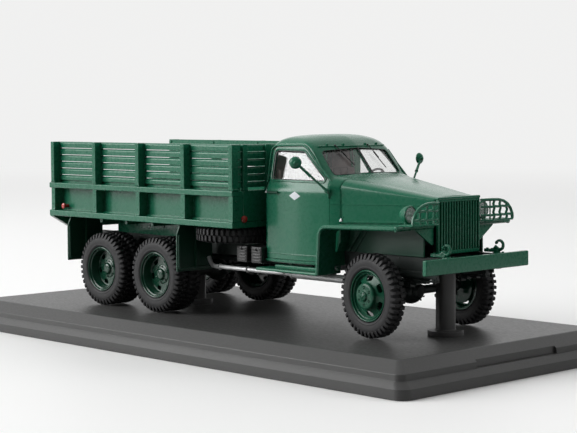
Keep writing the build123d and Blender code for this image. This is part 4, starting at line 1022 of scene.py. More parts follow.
# window rubber and panes
s = Shape()
for sgn in (-1, 1):
    s.tube([on_side(sgn, x, z, -0.16) for x, z in dense(offset_outline(window_line, -0.02), 0.45)], 0.2, 8, closed=True)
    s.tube([(screen_x(y, z, 0.02), y, z) for y, z in dense(pane_line(sgn, -0.02), 0.45)], 0.13, 8, closed=True)
s.band([(screen_x(0, z, 0.06), 0, z) for z in (42.3, 44, 46, 48, 49.45)], 0.26, 0.22, up=(1, 0, 0))
s.tube([(-42.6, y, z) for y, z in dense(rear_line, 0.5)], 0.22, 8, closed=True)
for sgn in (-1, 1):             # wipers: arm and blade hanging from the roof bumps
    for (y0, y1, z1) in ((7.6, 4.9, 44.6),) if sgn < 0 else ((5.0, 7.4, 43.6),):
        a = (screen_x(y0, 49.9, -0.35), sgn * y0, 49.95)
        b = (screen_x(lerp(y0, y1, .6), lerp(49.9, z1, .55), -0.55), sgn * lerp(y0, y1, .6), lerp(49.9, z1, .55))
        s.tube([a, ((a[0] + b[0]) / 2 + 0.18, (a[1] + b[1]) / 2, (a[2] + b[2]) / 2), b], 0.13, 8)
        c = (screen_x(lerp(y0, y1, .35), lerp(49.9, z1, .3), -0.28), sgn * lerp(y0, y1, .35), lerp(49.9, z1, .3))
        d = (screen_x(y1, z1, -0.28), sgn * y1, z1)
        s.band([c, ((c[0] + d[0]) / 2, (c[1] + d[1]) / 2, (c[2] + d[2]) / 2), d], 0.2, 0.26, up=(1, 0, 0.3))
        s.ball(a, 0.3, 12)
make("window_rubbers", s, TRIM)


def sheet_between(s, grid_out, grid_in):
    """Closed thin sheet between two grids of points."""
    t = bmesh.new()
    a = [[t.verts.new(p) for p in row] for row in grid_out]
    b = [[t.verts.new(p) for p in row] for row in grid_in]
    n, m = len(a), len(a[0])
    for i in range(n - 1):
        for j in range(m - 1):
            t.faces.new((a[i][j], a[i + 1][j], a[i + 1][j + 1], a[i][j + 1]))
            t.faces.new((b[i][j], b[i][j + 1], b[i + 1][j + 1], b[i + 1][j]))
    for i in range(n - 1):
        t.faces.new((a[i][0], b[i][0], b[i + 1][0], a[i + 1][0]))
        t.faces.new((a[i][-1], a[i + 1][-1], b[i + 1][-1], b[i][-1]))
    for j in range(m - 1):
        t.faces.new((a[0][j], a[0][j + 1], b[0][j + 1], b[0][j]))
        t.faces.new((a[-1][j], b[-1][j], b[-1][j + 1], a[-1][j + 1]))
    bmesh.ops.recalc_face_normals(t, faces=t.faces)
    return s.join(t)


s = Shape()
for sgn in (-1, 1):
    outer, inner = [], []
    for i in range(13):
        y = sgn * lerp(0.12, 13.55, i / 12)
        zs = [lerp(42.4 - 0.03 * abs(y), 49.3 - 0.06 * abs(y), j / 8) for j in range(9)]
        outer.append([(screen_x(y, z, 0.38), y, z) for z in zs])
        inner.append([(screen_x(y, z, 0.68), y, z) for z in zs])
    sheet_between(s, outer, inner)
    outer, inner = [], []
    for i in range(15):
        x = lerp(-40.1, -19.4, i / 14)
        deep = 0.36 + 1.0 * i / 14
        zt = 48.5 if x < -27.6 else lerp(48.5, 40.9, (x + 27.6) / 7.7)
        zs = [lerp(40.35, max(zt, 40.7), j / 8) for j in range(9)]
        outer.append([on_side(sgn, x, z, -deep) for z in zs])
        inner.append([on_side(sgn, x, z, -deep - 0.26) for z in zs])
    sheet_between(s, outer, inner)
outer = [[(-42.4, lerp(-7.2, 7.2, i / 6), lerp(43.1, 48.1, j / 4)) for j in range(5)] for i in range(7)]
inner = [[(-42.15, y, z) for _, y, z in row] for row in outer]
sheet_between(s, outer, inner)
make("window_panes", s, GLASS, "cab_glass", weights=False)

# inside of the cab
s = Shape()
s.box(-40.6, -40.1, -15.2, 15.2, 30.0, 42.6, 0.2)
s.box(-40.6, -40.1, -15.2, -7.6, 42.3, 49.0, 0.2)
s.box(-40.6, -40.1, 7.6, 15.2, 42.3, 49.0, 0.2)
s.box(-39.8, -30.5, -15.4, -0.35, 26.4, 30.6, 0.9, 4)
s.box(-39.8, -30.5, 0.35, 15.4, 26.4, 30.6, 0.9, 4)
for a, b in ((-15.0, -0.3), (0.3, 15.0)):
    w = (b - a) / 5
    for k in range(5):
        s.side(rounded([(-40.2, 30.4), (-37.3, 30.4), (-38.5, 43.2), (-40.2, 43.2)], [0.3, 0.9, 0.8, 0.3], 4), a + w * k + 0.05, a + w * (k + 1) - 0.05, 0.3, 3)
        s.box(-39.4, -30.7, a + w * k + 0.08, a + w * (k + 1) - 0.08, 30.2, 31.0, 0.35, 3)
s.box(-38.0, -32.0, -14.4, 14.4, 22.4, 26.5, 0.2)
for sgn in (-1, 1):
    s.box(-41.6, -40.3, sgn * 13.9, sgn * 14.4, 40.3, 48.4, 0.1)
make("bench_seat", s, BROWN, "seat")
s = Shape()
s.side(rounded([(-16.6, 33.6), (-18.6, 34.2), (-19.6, 38.6), (-18.2, 40.5), (-16.9, 40.5)], [0.1, 0.6, 0.6, 0.5, 0.1], 3), -13.6, 13.6, 0.15)
for y in (5.2, 8.2, 11.2):
    s.lathe([(0, 0), (0, 1.2), (0.25, 1.25), (0.35, 1.15), (0.35, 1.0), (0.15, 0.95), (0.15, 0)], (-19.15, y, 37.2), (-0.98, 0, 0.2), 24)
for y in (-2, 0, 2):
    s.lathe([(0, 0), (0, 0.3), (0.6, 0.3), (0.7, 0.2), (0.7, 0)], (-18.95, y, 36.2), (-0.98, 0, 0.2), 12)
s.box(-19.4, -19.1, -12.0, -5.0, 35.2, 38.2, 0.15)
make("instrument_panel", s, GREEN_PAINTED_SHADE, "dashboard")
s = Shape()
tilt = Matrix.Translation((-24.8, 8.2, 39.4)) @ Matrix.Rotation(math.radians(-62), 4, "Y")
circle = [tilt @ Vector((4.2 * math.cos(k * math.tau / 48), 4.2 * math.sin(k * math.tau / 48), 0)) for k in range(48)]
s.tube(circle, 0.32, 10, closed=True)
for k in range(3):
    a = math.radians(120 * k + 30)
    s.tube([tilt @ Vector((0.5 * math.cos(a), 0.5 * math.sin(a), 0)), tilt @ Vector((4.2 * math.cos(a), 4.2 * math.sin(a), 0))], 0.22, 8)
s.lathe([(-0.4, 0), (-0.4, 0.7), (0.1, 0.9), (0.35, 0.8), (0.45, 0.4), (0.45, 0)], tilt @ Vector((0, 0, 0)), (tilt.to_3x3() @ Vector((0, 0, 1))), 20)
s.tube([(-24.8, 8.2, 39.4), (-18.9, 8.2, 28.3)], 0.45, 12)
for y, z in ((2.0, 24), (5.0, 24.5), (8.0, 24.5)):
    s.box(-21.4, -20.9, y - 0.5, y + 0.5, z, z + 1.5, 0.15)
s.tube([(-25.5, 0, 24.3), (-26.0, 0.1, 29.0), (-27.5, 0.2, 32.2)], 0.22, 8)
s.ball((-27.6, 0.2, 32.5), 0.5, 16)
make("wheel_and_levers", s, TRIM, "steering_wheel")
dress("cab_floor", GREEN_PAINTED_SHADE, 0.12)


# ------------------------------------------------------------------ hood
NOSE_X = 12.75


def hood_at(x, inset=0.0):
    q = (x + 15.0) / (NOSE_X + 15.0)
    return hood_profile(lerp(15.05, 8.5, q) - inset, lerp(29.3, 29.95, q), lerp(38.8, 36.2, q) - inset * 0.8,
                        lerp(41.05, 36.85, q) - inset, lerp(42.0, 37.15, q) - inset)


s = Shape()
xs = [-14.99, -14.96, -14.88] + [lerp(-14.7, 12.0, k / 26) for k in range(27)] + [12.3, 12.5, 12.63, 12.71, 12.75]
ins = [0.14, 0.05, 0.0] + [0.0] * 27 + [0.02, 0.1, 0.24, 0.45, 0.75]
loft(s, [[(x, y, z) for y, z in hood_at(x, i)] for x, i in zip(xs, ins)])
for sgn in (-1, 1):
    half = lambda x: lerp(15.05, 8.5, (x + 15.0) / (NOSE_X + 15.0))
    # side bead, lower edge bead, hinge line on the shoulder
    s.band([(x, sgn * (half(x) + 0.02), lerp(34.45, 34.9, (x + 15) / 27.75)) for x in [lerp(-14.8, 12.2, k / 16) for k in range(17)]], 0.16, 0.36)
    s.band([(x, sgn * (half(x) + 0.05), lerp(29.75, 30.35, (x + 15) / 27.75)) for x in [lerp(-14.8, 12.4, k / 16) for k in range(17)]], 0.3, 0.5)
    s.tube([(-14.75, sgn * 15.02, z) for z in (29.9, 32, 34, 36, 38.2)], 0.12, 8)
    for z in (31.0, 37.0):
        s.rivet((-14.2, sgn * (half(-14.2)), z), (0, sgn, 0), 0.22)
make("hood_panel", s, GREEN, "hood", smooth=30)
s = Shape()
for sgn in (-1, 1):
    s.side([(-15.5, 29.75), (-14.2, 29.9), (-14.7, 30.8)], sgn * 15.0, sgn * 15.35, 0.1)
make("hood_latches", s, SILVER)

# grille
s = Shape()
GY, GZ0, GZ1 = 8.3, 22.1, 36.35
s.box(12.8, 13.75, -GY - 0.05, -GY + 0.42, GZ0, GZ1, 0.14, 3)
s.box(12.8, 13.75, GY - 0.42, GY + 0.05, GZ0, GZ1, 0.14, 3)
s.box(12.8, 13.7, -GY, GY, GZ0, GZ0 + 0.95, 0.14, 3)
s.box(12.8, 13.72, -GY, GY, GZ1 - 0.62, GZ1, 0.16, 3)
s.box(12.55, 13.9, -GY - 0.2, GY + 0.2, GZ1 - 0.05, GZ1 + 0.7, 0.28, 4)
pitch = (2 * GY - 0.6) / 15
for k in range(1, 15):
    gy = -GY + 0.3 + pitch * k
    s.box(12.85, 13.78, gy - 0.24, gy + 0.24, GZ0 + 0.4, GZ1 - 0.3, 0.16, 3)
for k in range(16):
    s.rivet((13.7, -GY + 0.3 + pitch * k, GZ0 + 0.42), (1, 0, 0), 0.2, 10)
make("grille_bars", s, GREEN, "grille")
s = Shape()
s.box(10.9, 12.4, -7.5, 7.5, 21.8, 35.3, 0.2)
for k in range(34):
    z = 22.6 + 0.37 * k
    s.box(12.35, 12.55, -7.3, 7.3, z, z + 0.16, 0.03, 1)
make("radiator_core", s, DARK, "radiator")


# ------------------------------------------------------------------ fenders
def fender_top(x):
    return 29.25 + (x + 12.9) * 0.0272


def fender_inner(x):
    return table(x, [(-17.0, 16.4), (-16.0, 16.4), (-15.0, 15.05), (12.75, 8.6), (13.0, 8.6)])


curve = [(-16.85, 15.9), (-16.72, 18.0), (-16.55, 20.5), (-16.38, 23.0), (-16.22, 25.4)]
curve += [(-13.0 + 3.2 * math.cos(math.radians(a)), 26.05 + 3.2 * math.sin(math.radians(a))) for a in range(176, 88, -8)]
curve += [(x, fender_top(x)) for x in [lerp(-12.4, 12.5, k / 14) for k in range(15)]]
for word, sgn in (("right", -1), ("left", 1)):
    s = Shape()
    outer, inner = [], []
    T = 0.75
    for i, (x, z) in enumerate(curve):
        a, b = Vector(curve[max(i - 1, 0)]), Vector(curve[min(i + 1, len(curve) - 1)])
        d = (b - a).normalized()
        nrm = Vector((-d.y, d.x))
        if nrm.dot(Vector((-1, 1))) < 0:
            nrm = -nrm
        ys = [lerp(fender_inner(max(x, -16.9)) - 0.1, 22.9, j / 6) for j in range(7)]
        outer.append([(x, sgn * y, z) for y in ys])
        inner.append([(x - nrm.x * T, sgn * y, z - nrm.y * T) for y in ys])
    sheet_between(s, outer, inner)
    # rolled bead along the outer edge, round the corner and along the nose
    path = []
    for i, (x, z) in enumerate(curve[:-1]):
        a, b = Vector(curve[max(i - 1, 0)]), Vector(curve[min(i + 1, len(curve) - 1)])
        d = (b - a).normalized()
        nrm = Vector((d.y, -d.x))
        path.append((x + nrm.x * 0.42, sgn * 22.72, z + nrm.y * 0.42))
    n_straight = len(path)
    zc = path[-1][2]
    for k in range(1, 7):
        a = math.radians(90 * k / 6)
        path.append((11.75 + 0.75 * math.sin(a), sgn * (21.97 + 0.75 * math.cos(a)), zc + 0.02))
    path += [(12.5, sgn * y, zc + 0.02) for y in (19, 15, 11, 9.0)]

    def up(i):
        if i < n_straight:
            a, b = Vector(curve[max(i - 1, 0)]), Vector(curve[min(i + 1, len(curve) - 1)])
            d = (b - a).normalized()
            return Vector((-d.y, 0, d.x))
        return Vector((0, 0, 1))
    s.band(path, 0.7, 1.1, up=up, r=0.33)
    # notch mark in the bead, gusset at the nose, apron, brace and its foot
    s.box(11.6, 12.2, sgn * 22.3, sgn * 23.05, 28.75, 30.1, 0.1)
    s.front([(sgn * 8.8, 24.7), (sgn * 9.7, 24.7), (sgn * 15.6, 28.7), (sgn * 15.6, 29.5), (sgn * 8.8, 29.5)], 11.9, 12.5, 0.14, 3)
    a = Shape()
    a.box(-14.6, 11.9, sgn * 11.5, sgn * 12.1, 21.6, 29.0, 0.15)
    for x in (-12, -8, -4, 0, 4, 8):
        a.rivet((x, sgn * 12.1, 28.3), (0, sgn, 0), 0.22)
    a.side([(-15.6, 21.7), (-14.2, 21.7), (-8.6, 28.9), (-10.0, 28.9)], sgn * 11.9, sgn * 12.7, 0.12)
    a.side([(-13.0, 21.7), (-12.2, 21.7), (-6.8, 28.9), (-7.6, 28.9)], sgn * 11.9, sgn * 12.4, 0.1)
    make(word + "_apron", a, GREEN_PAINTED_SHADE)
    make(word + "_wing", s, GREEN, word + "_fender", smooth=32)

# ------------------------------------------------------------------ lamps and guards
s, lens, ref = Shape(), Shape(), Shape()
for sgn in (-1, 1):
    c = (0, sgn * 14.6, 32.6)
    s.lathe([(6.3, 0), (6.38, 0.5), (6.6, 0.95), (7.0, 1.42), (7.5, 1.8), (8.1, 2.1), (8.7, 2.28), (9.2, 2.33), (9.3, 2.42), (9.55, 2.46), (9.75, 2.4),
             (9.85, 2.26), (9.8, 2.12), (9.62, 2.06), (9.3, 2.05), (8.6, 1.95), (7.6, 1.2), (7.3, 0)], c, (1, 0, 0), 40)
    s.lathe([(0, 0), (0, 0.95), (0.2, 0.95), (0.35, 0.6), (1.5, 0.55), (1.6, 0)], (8.2, sgn * 14.6, 29.75), (0, 0, 1), 20)
    s.tube([(9.6, sgn * 14.6, 30.2), (9.9, sgn * 14.6, 30.0)], 0.3, 8)
    lens.lathe([(9.45, 0), (9.45, 2.02), (9.62, 2.04), (9.82, 1.9), (9.98, 1.5), (10.08, 0.9), (10.12, 0)], c, (1, 0, 0), 40)
    for k in range(-4, 5):
        y = 0.42 * k
        h = math.sqrt(max(0.05, 1.85 ** 2 - y * y))
        x = 10.0 - 0.055 * (y * y)
        lens.band([(x, sgn * 14.6 + y, 32.6 - h * 0.92), (x + 0.1, sgn * 14.6 + y, 32.6), (x, sgn * 14.6 + y, 32.6 + h * 0.92)], 0.16, 0.12, up=(1, 0, 0))
    ref.lathe([(7.6, 0), (7.7, 0.8), (8.2, 1.45), (8.9, 1.85), (9.35, 2.0), (9.4, 1.95), (8.95, 1.78), (8.3, 1.35), (7.9, 0.7), (7.85, 0)], c, (1, 0, 0), 40)
    ref.ball((8.4, sgn * 14.6, 32.6), 0.4, 14)
make("lamp_bowls", s, GREEN, "headlights")
make("lamp_lenses", lens, LENS, "headlight_lenses")
make("lamp_mirrors", ref, REFLECTOR)

s = Shape()
for sgn in (-1, 1):
    x0 = 15.35
    hoop = [(13.8, 8.5, 35.65), (14.4, 9.4, 35.72), (15.1, 10.6, 35.75), (x0, 12.0, 35.75), (x0, 14.2, 35.68), (x0, 16.2, 35.3), (x0, 18.0, 34.45),
            (x0, 19.3, 33.2), (x0, 20.05, 31.8), (x0, 20.15, 30.4)]
    s.band([(x, sgn * y, z) for x, y, z in hoop], 0.74, 0.85, up=(1, 0, 0), r=0.22)
    s.band([(13.8, sgn * 8.5, 30.25), (15.1, sgn * 10.6, 30.25), (x0, sgn * 12.0, 30.25), (x0, sgn * 20.2, 30.25)], 0.7, 0.5, up=(0, 0, 1), r=0.15)
    for z in (31.6, 33.85):
        end = 20.05 if z < 32 else 18.75
        pts = [(13.8, 8.5, z), (14.5, 9.5, z), (15.15, 10.7, z)]
        y, k = 11.4, 0
        while y < end:
            pts.append((x0 + (0.22 if k % 2 else -0.05), y, z + (0.1 if k % 2 else -0.04)))
            y += 1.33
            k += 1
        pts.append((x0, end, z))
        s.tube([(x, sgn * y, z) for x, y, z in pts], 0.34, 8)
    for y, zt in ((12.15, 35.7), (14.75, 35.6), (17.5, 34.75)):
        s.tube([(x0 + (0.22 if k % 2 else -0.05), sgn * (y + (0.08 if k % 2 else -0.05)), lerp(30.2, zt, k / 5)) for k in range(6)], 0.34, 8)
    for y in (9.6, 10.9):
        s.tube([(14.5 + (y - 9.6) * .5, sgn * y, 30.3), (14.5 + (y - 9.6) * .5, sgn * y, 35.6)], 0.2, 8)
    for a, b in (((10.5, 20.15), (15.3, 20.15)), ((10.9, 17.5), (15.3, 17.5)), ((12.0, 12.2), (15.3, 12.2))):
        s.band([(a[0], sgn * a[1], 30.2), (b[0], sgn * b[1], 30.2)], 0.5, 0.4, up=(0, 0, 1))
make("lamp_guards", s, GREEN, "headlight_guards")

# ------------------------------------------------------------------ front bumper and hooks
s = Shape()
s.box(19.1, 20.5, -20.8, 20.8, 17.9, 21.9, 0.3, 4)
for sgn in (-1, 1):
    s.box(17.2, 19.2, sgn * 10.3 - 0.9, sgn * 10.3 + 0.9, 21.4, 21.95, 0.15)
    s.bolt((19.6, sgn * 10.8, 21.85), (0, 0, 1), 0.36, 0.34)
    s.bolt((19.6, sgn * 9.4, 21.85), (0, 0, 1), 0.28, 0.26)
make("bumper_bar", s, GREEN, "front_bumper")
s = Shape()
for sgn in (-1, 1):
    y = sgn * 10.8
    s.box(13.6, 18.4, y - 0.6, y + 0.6, 21.85, 22.7, 0.2, 3)
    for x in (14.4, 16.0):
        s.bolt((x, y, 22.65), (0, 0, 1), 0.36, 0.3)
    ring = [(18.5 + 1.2 * math.cos(math.radians(a)), y, 23.85 + 1.2 * math.sin(math.radians(a))) for a in range(-150, 160, 12)]
    s.tube([(16.6, y, 22.5)] + ring[0:], 0.42, 12, scale=[1.15] + [1.15 - 0.35 * i / len(ring) for i in range(len(ring))])
    e = ring[-1]
    s.ball(e, 0.46, 12)
make("hooks", s, GREEN, "tow_hooks")

# ------------------------------------------------------------------ mirrors
s = Shape()
for sgn in (-1, 1):
    a, b = Vector((-18.2, sgn * 17.0, 38.0)), Vector((-21.7, sgn * 24.9, 45.5))
    s.tube([a, a.lerp(b, 0.03), a.lerp(b, 0.5), a.lerp(b, 0.94), b], 0.3, 10)
    s.lathe([(-0.3, 0), (-0.3, 0.62), (0.35, 0.6), (0.6, 0.42), (1.4, 0.36), (1.4, 0)], a, b - a, 16)
    s.lathe([(0, 0), (0, 0.5), (0.3, 0.5), (0.5, 0.4), (3.6, 0.36), (3.8, 0)], a.lerp(b, 0.55), b - a, 14)
    s.box(-19.2, -17.4, sgn * 16.3, sgn * 16.95, 37.4, 38.5, 0.2, 3)
    c = Vector((-22.0, sgn * 25.1, 45.7))
    s.lathe([(-0.55, 0), (-0.5, 1.5), (-0.42, 1.62), (-0.25, 1.66), (-0.1, 1.6), (0.25, 1.35), (0.5, 0.95), (0.66, 0.5), (0.7, 0)], c, (0.70, -0.71, 0.03) if sgn < 0 else (0.94, 0.1, 0.05), 36)
    s.ball(c + (Vector((0.52, -0.54, 0)) if sgn < 0 else Vector((0.75, -0.1, 0))), 0.5, 16)
make("mirror_arms", s, GREEN, "mirrors")

# ------------------------------------------------------------------ running gear
s = Shape()
for sgn in (-1, 1):
    s.box(-41.2, -17.2, sgn * 16.3, sgn * 22.0, 15.45, 16.2, 0.26, 3)
    s.box(-37.0, -17.2, sgn * 16.2, sgn * 18.6, 16.1, 17.0, 0.2, 3)
    for k in range(24):          # tread ribs
        x = -40.6 + 0.98 * k
        s.box(x, x + 0.42, sgn * 18.9, sgn * 21.6, 16.15, 16.32, 0.06, 1)
    for bx in (-38.5, -20.0):
        s.box(bx - 0.5, bx + 0.5, sgn * 10.4, sgn * 18.0, 15.2, 16.0, 0.15)
        s.box(bx - 0.5, bx + 0.5, sgn * 10.3, sgn * 11.2, 15.4, 17.6, 0.15)
        s.bolt((bx, sgn * 11.2, 16.6), (0, sgn, 0), 0.28, 0.25)
make("step_boards", s, GREEN, "running_boards")

s = Shape()
for x0, x1 in ((-51.8, -47.6), (-45.8, -41.6)):
    s.box(x0, x1, -19.5, -11.8, 16.9, 21.6, 0.3, 3)
    for k in range(5):
        z = 17.5 + 0.82 * k
        s.box(x0 + 0.3, x1 - 0.3, -19.75, -19.3, z, z + 0.38, 0.14, 2)
    s.box(x0 - 0.05, x1 + 0.05, -19.55, -11.8, 20.9, 21.2, 0.1)
    s.box((x0 + x1) / 2 - 0.3, (x0 + x1) / 2 + 0.3, -19.95, -19.4, 20.4, 21.3, 0.12)
make("locker_boxes", s, TRIM, "tool_boxes")

s = Shape()
outline = rounded([(-62.0, 14.3), (-44.0, 14.3), (-44.0, 21.7), (-62.0, 21.7)], 2.4, 6)
s.side(outline, 12.4, 21.0, 0.4, 3, 20)
for x in (-57.5, -48.5):
    s.band([(x, y, z) for (y, z) in rounded([(12.3, 14.2), (21.1, 14.2), (21.1, 21.8), (12.3, 21.8)], 0.8, 3)], 0.9, 0.22, up=(1, 0, 0), closed=True)
s.lathe([(0, 0), (0, 0.9), (0.5, 0.95), (0.7, 0.8), (0.7, 0)], (-53.0, 17.0, 21.6), (0, 0, 1), 20)
make("fuel_cell", s, GREEN, "fuel_tank")

s = Shape()
s.tube([(-13.0, -15.0, 14.3), (-23.0, -15.0, 14.3), (-33.6, -15.0, 14.3)], 1.12, 24)
s.tube([(-33.4, -15.0, 14.3), (-50.0, -15.0, 14.3), (-66.0, -15.0, 14.3), (-67.2, -15.0, 14.45), (-68.0, -15.0, 15.2), (-68.6, -15.0, 16.1), (-69.0, -15.0, 17.0)], 0.64, 18)
for x in (-13.2, -33.4):
    s.lathe([(-0.4, 0), (-0.4, 1.16), (-0.3, 1.24), (0.3, 1.24), (0.4, 1.16), (0.4, 0)], (x, -15.0, 14.3), (1, 0, 0), 20)
for x in (-36.5, -52.0, -64.0):
    s.band([(x, -15.0 + 0.72 * math.cos(a), 14.3 + 0.72 * math.sin(a)) for a in [k * math.tau / 16 for k in range(16)]], 0.5, 0.16, up=(1, 0, 0), closed=True)
make("exhaust_run", s, SILVER, "exhaust_pipe")

extra = Shape()
for sgn in (-1, 1):
    for k in range(15):          # rivets down the rails
        extra.rivet((-126.0 + 9.9 * k, sgn * 11.2, 20.9), (0, sgn, 0), 0.22, 8)
        extra.rivet((-126.0 + 9.9 * k, sgn * 11.2, 18.3), (0, sgn, 0), 0.22, 8)
    extra.side([(-14.0, 17.7), (-11.0, 17.7), (-12.0, 16.2), (-13.0, 16.2)], sgn * 9.6, sgn * 11.4, 0.1)
dress("frame", DARK, 0.14, extra=extra)

s = Shape()
for mx, my, mz, half in ((0.0, 10.3, 15.6, 15.0), (-95.4, 12.3, 16.2, 12.9)):
    for sgn in (-1, 1):
        y0, y1 = sgn * my - 0.9, sgn * my + 0.9
        for n in range(4):
            a, b = mx - half + 3.2 * n, mx + half - 3.2 * n
            z = mz - 0.5 * n
            path = [(lerp(a, b, k / 14), sgn * my, z - 0.25 + 0.0 * k) for k in range(15)]
            s.band(path, 1.8 - 0.06 * n, 0.44, up=(0, 0, 1), r=0.1)
        for x in (mx - 6.4, mx + 6.4, mx - 1.3, mx + 1.3):
            s.box(x - 0.35, x + 0.35, y0 - 0.12, y1 + 0.12, mz - 2.15, mz + 0.12, 0.1)
        if mx == 0.0:
            for e0, e1 in ((2.2, 14.4), (-14.4, -2.2)):
                s.side([(e0, 17.75), (e1, 17.75), (e1, 15.9), (lerp(e0, e1, 0.5), 15.45), (e0, 15.9)], sgn * my - 0.75, sgn * my + 0.75, 0.12)
            s.box(1.0, 16.0, sgn * (my + 0.9), sgn * (my + 1.5), 16.2, 17.8, 0.15)
            for ex in (-half, half - 1.2):
                s.box(mx + ex, mx + ex + 1.2, sgn * my - 0.8, sgn * my + 0.8, mz - 0.5, 17.6, 0.25, 3)
                s.lathe([(-1.1, 0), (-1.1, 0.4), (-0.95, 0.48), (0.95, 0.48), (1.1, 0.4), (1.1, 0)], (mx + ex + 0.6, sgn * my, mz + 0.2), (0, 1, 0), 14)
        else:
            s.box(mx - 2.2, mx + 2.2, y0, y1, mz - 0.1, 17.7, 0.2)
            s.box(mx - 2.2, mx + 2.2, sgn * 11.3, sgn * my + sgn * 0.9, 17.5, 20.0, 0.25)
            s.lathe([(0, 0), (0, 1.3), (0.6, 1.2), (0.9, 0.9), (0.9, 0)], (mx, sgn * (my + 0.8), 17.4), (0, sgn, 0), 20)
make("spring_packs", s, DARK, "leaf_springs")


def axle_piece(name, node, x, hub_z, r, end, diff_y, diff_r, reach, front=False):
    s = Shape()
    prof = [(-end, 0), (-end, r * 1.25), (-end + 0.5, r * 1.25), (-end + 0.7, r)]
    prof += [(-diff_r * 1.5 + diff_y, r), (-diff_r * 1.15 + diff_y, r * 1.35)]
    prof += [(diff_y + diff_r * math.sin(math.radians(a)), max(r * 1.35, diff_r * math.cos(math.radians(a)))) for a in range(-66, 67, 11)]
    prof += [(diff_r * 1.15 + diff_y, r * 1.35), (diff_r * 1.5 + diff_y, r), (end - 0.7, r), (end - 0.5, r * 1.25), (end, r * 1.25), (end, 0)]
    s.lathe(prof, (x, 0, hub_z), (0, 1, 0), 32)
    s.lathe([(-diff_r - 0.15, 0), (-diff_r - 0.1, 1.5), (-diff_r * 0.82, 2.2), (-diff_r * 0.5, 2.75), (diff_r * 0.4, 2.6), (diff_r * 0.9, 1.7), (diff_r + 1.2, 1.05), (diff_r + 1.5, 0.8), (diff_r + 1.5, 0)],
            (x, diff_y, hub_z), (1 if not front else -1, 0, 0), 28)
    for k in range(10):
        a = math.tau * k / 10
        s.bolt((x - (diff_r * 0.84 if not front else -diff_r * 0.84), diff_y + 2.35 * math.cos(a), hub_z + 2.35 * math.sin(a)), (-1 if not front else 1, 0, 0), 0.22, 0.25)
    if reach:
        s.lathe([(-reach, 0), (-reach, 1.0), (reach, 1.0), (reach, 0)], (x, 0, hub_z), (0, 1, 0), 24)
        for sgn in (-1, 1):
            s.box(x - 1.4, x + 1.4, sgn * 12.3 - 0.9, sgn * 12.3 + 0.9, hub_z, 14.4, 0.2)
            s.lathe([(14.0, 0), (14.0, 2.6), (14.2, 2.9), (15.4, 2.9), (15.6, 2.6), (15.6, 0)], (x, 0, hub_z), (0, sgn, 0), 32)
    else:
        for sgn in (-1, 1):
            s.ball((x, sgn * 14.3, hub_z), 1.7, 24)
            s.box(-1.4, 1.4, sgn * 10.3 - 0.9, sgn * 10.3 + 0.9, hub_z, 13.7, 0.2)
            a = math.radians(STEER)
            along = Vector((sgn * math.sin(a), sgn * math.cos(a), 0))
            s.lathe([(-4.6, 0), (-4.6, 1.0), (-0.1, 1.0), (-0.1, 0)], (0, sgn * FRONT_Y, hub_z), along, 24)
            s.lathe([(-0.9, 0), (-0.9, 0.8), (-0.7, 0.9), (0.7, 0.9), (0.9, 0.8), (0.9, 0)], (0, sgn * 14.3, hub_z + 1.6), (0, 0, 1), 18)
            s.lathe([(-0.9, 0), (-0.9, 0.8), (-0.7, 0.9), (0.7, 0.9), (0.9, 0.8), (0.9, 0)], (0, sgn * 14.3, hub_z - 1.6), (0, 0, 1), 18)
            s.box(-3.4, 0, sgn * 13.0 - 0.4, sgn * 13.0 + 0.4, 10.2, 11.0, 0.15)
            s.ball((-3.2, sgn * 13.0, 10.6), 0.62, 14)
        s.tube([(-3.2, -13.0, 10.6), (-3.2, 13.0, 10.6)], 0.45, 12)
    make(name, s, DARK, node)


axle_piece("front_axle_casting", "front_axle", 0.0, HUB_Z, 1.15, 14.9, -3.6, 3.4, 0, True)
axle_piece("middle_axle_casting", "middle_axle", MIDDLE_X, HUB_Z_REAR, 1.3, 17.2, 0.0, 3.4, 21.4)
axle_piece("rear_axle_casting", "rear_axle", REAR_X, HUB_Z_REAR, 1.3, 17.2, 0.0, 3.4, 21.4)

s = Shape()
for run in (((-35.9, -3.6, 13.0), (-3.5, -3.6, 11.9)), ((-43.1, 1.5, 13.5), (-79.0, 1.0, 12.2)), ((-43.1, -2.6, 15.8), (-80.0, -6.0, 15.9)),
            ((-80.0, -6.0, 15.9), (-97.0, -6.0, 15.4)), ((-97.0, -6.0, 15.4), (-104.9, -2.2, 13.0))):
    a, b = Vector(run[0]), Vector(run[1])
    s.tube([a, b], 0.75, 16)
    for p, d in ((a, b - a), (b, a - b)):
        s.lathe([(-0.3, 0), (-0.3, 0.9), (0, 1.12), (0.9, 1.12), (1.1, 0.95), (1.9, 0.9), (2.1, 0.75), (2.1, 0)], p, d, 20)
make("shaft_runs", s, DARK, "driveshafts")
extra = Shape()
for k in range(6):
    a = math.tau * k / 6
    extra.bolt((-43.0, 1.5 + 1.7 * math.cos(a), 14.2 + 1.7 * math.sin(a)), (-1, 0, 0), 0.28, 0.25)
    extra.bolt((-35.9 + 0.0, -3.6 + 1.5 * math.cos(a), 13.4 + 1.5 * math.sin(a)), (1, 0, 0), 0.25, 0.25)
for k in range(6):
    extra.box(-34.0 + 3.0 * k, -33.4 + 3.0 * k, -3.2, 3.2, 14.8, 20.9, 0.12)
dress("transfer_case", DARK, 0.3, 3, extra=extra)
extra = Shape()
for k in range(6):
    x = -10.0 + 3.0 * k
    extra.lathe([(0, 0), (0, 0.4), (0.5, 0.4), (0.6, 0.25), (1.2, 0.22), (1.2, 0)], (x, -1.2, 34.9), (0, 0, 1), 12)
    extra.box(x - 0.9, x + 0.9, -6.0, -4.4, 28.5, 30.2, 0.3, 3)
extra.tube([(-10.5, -6.0, 29.3), (-2.0, -6.0, 29.3), (5.5, -6.0, 29.3), (6.8, -6.0, 28.0), (7.0, -6.0, 24.0)], 0.8, 14)
extra.lathe([(0, 0), (0, 3.4), (0.3, 3.5), (0.6, 3.4), (0.6, 0)], (7.4, 0, 28.0), (1, 0, 0), 28)
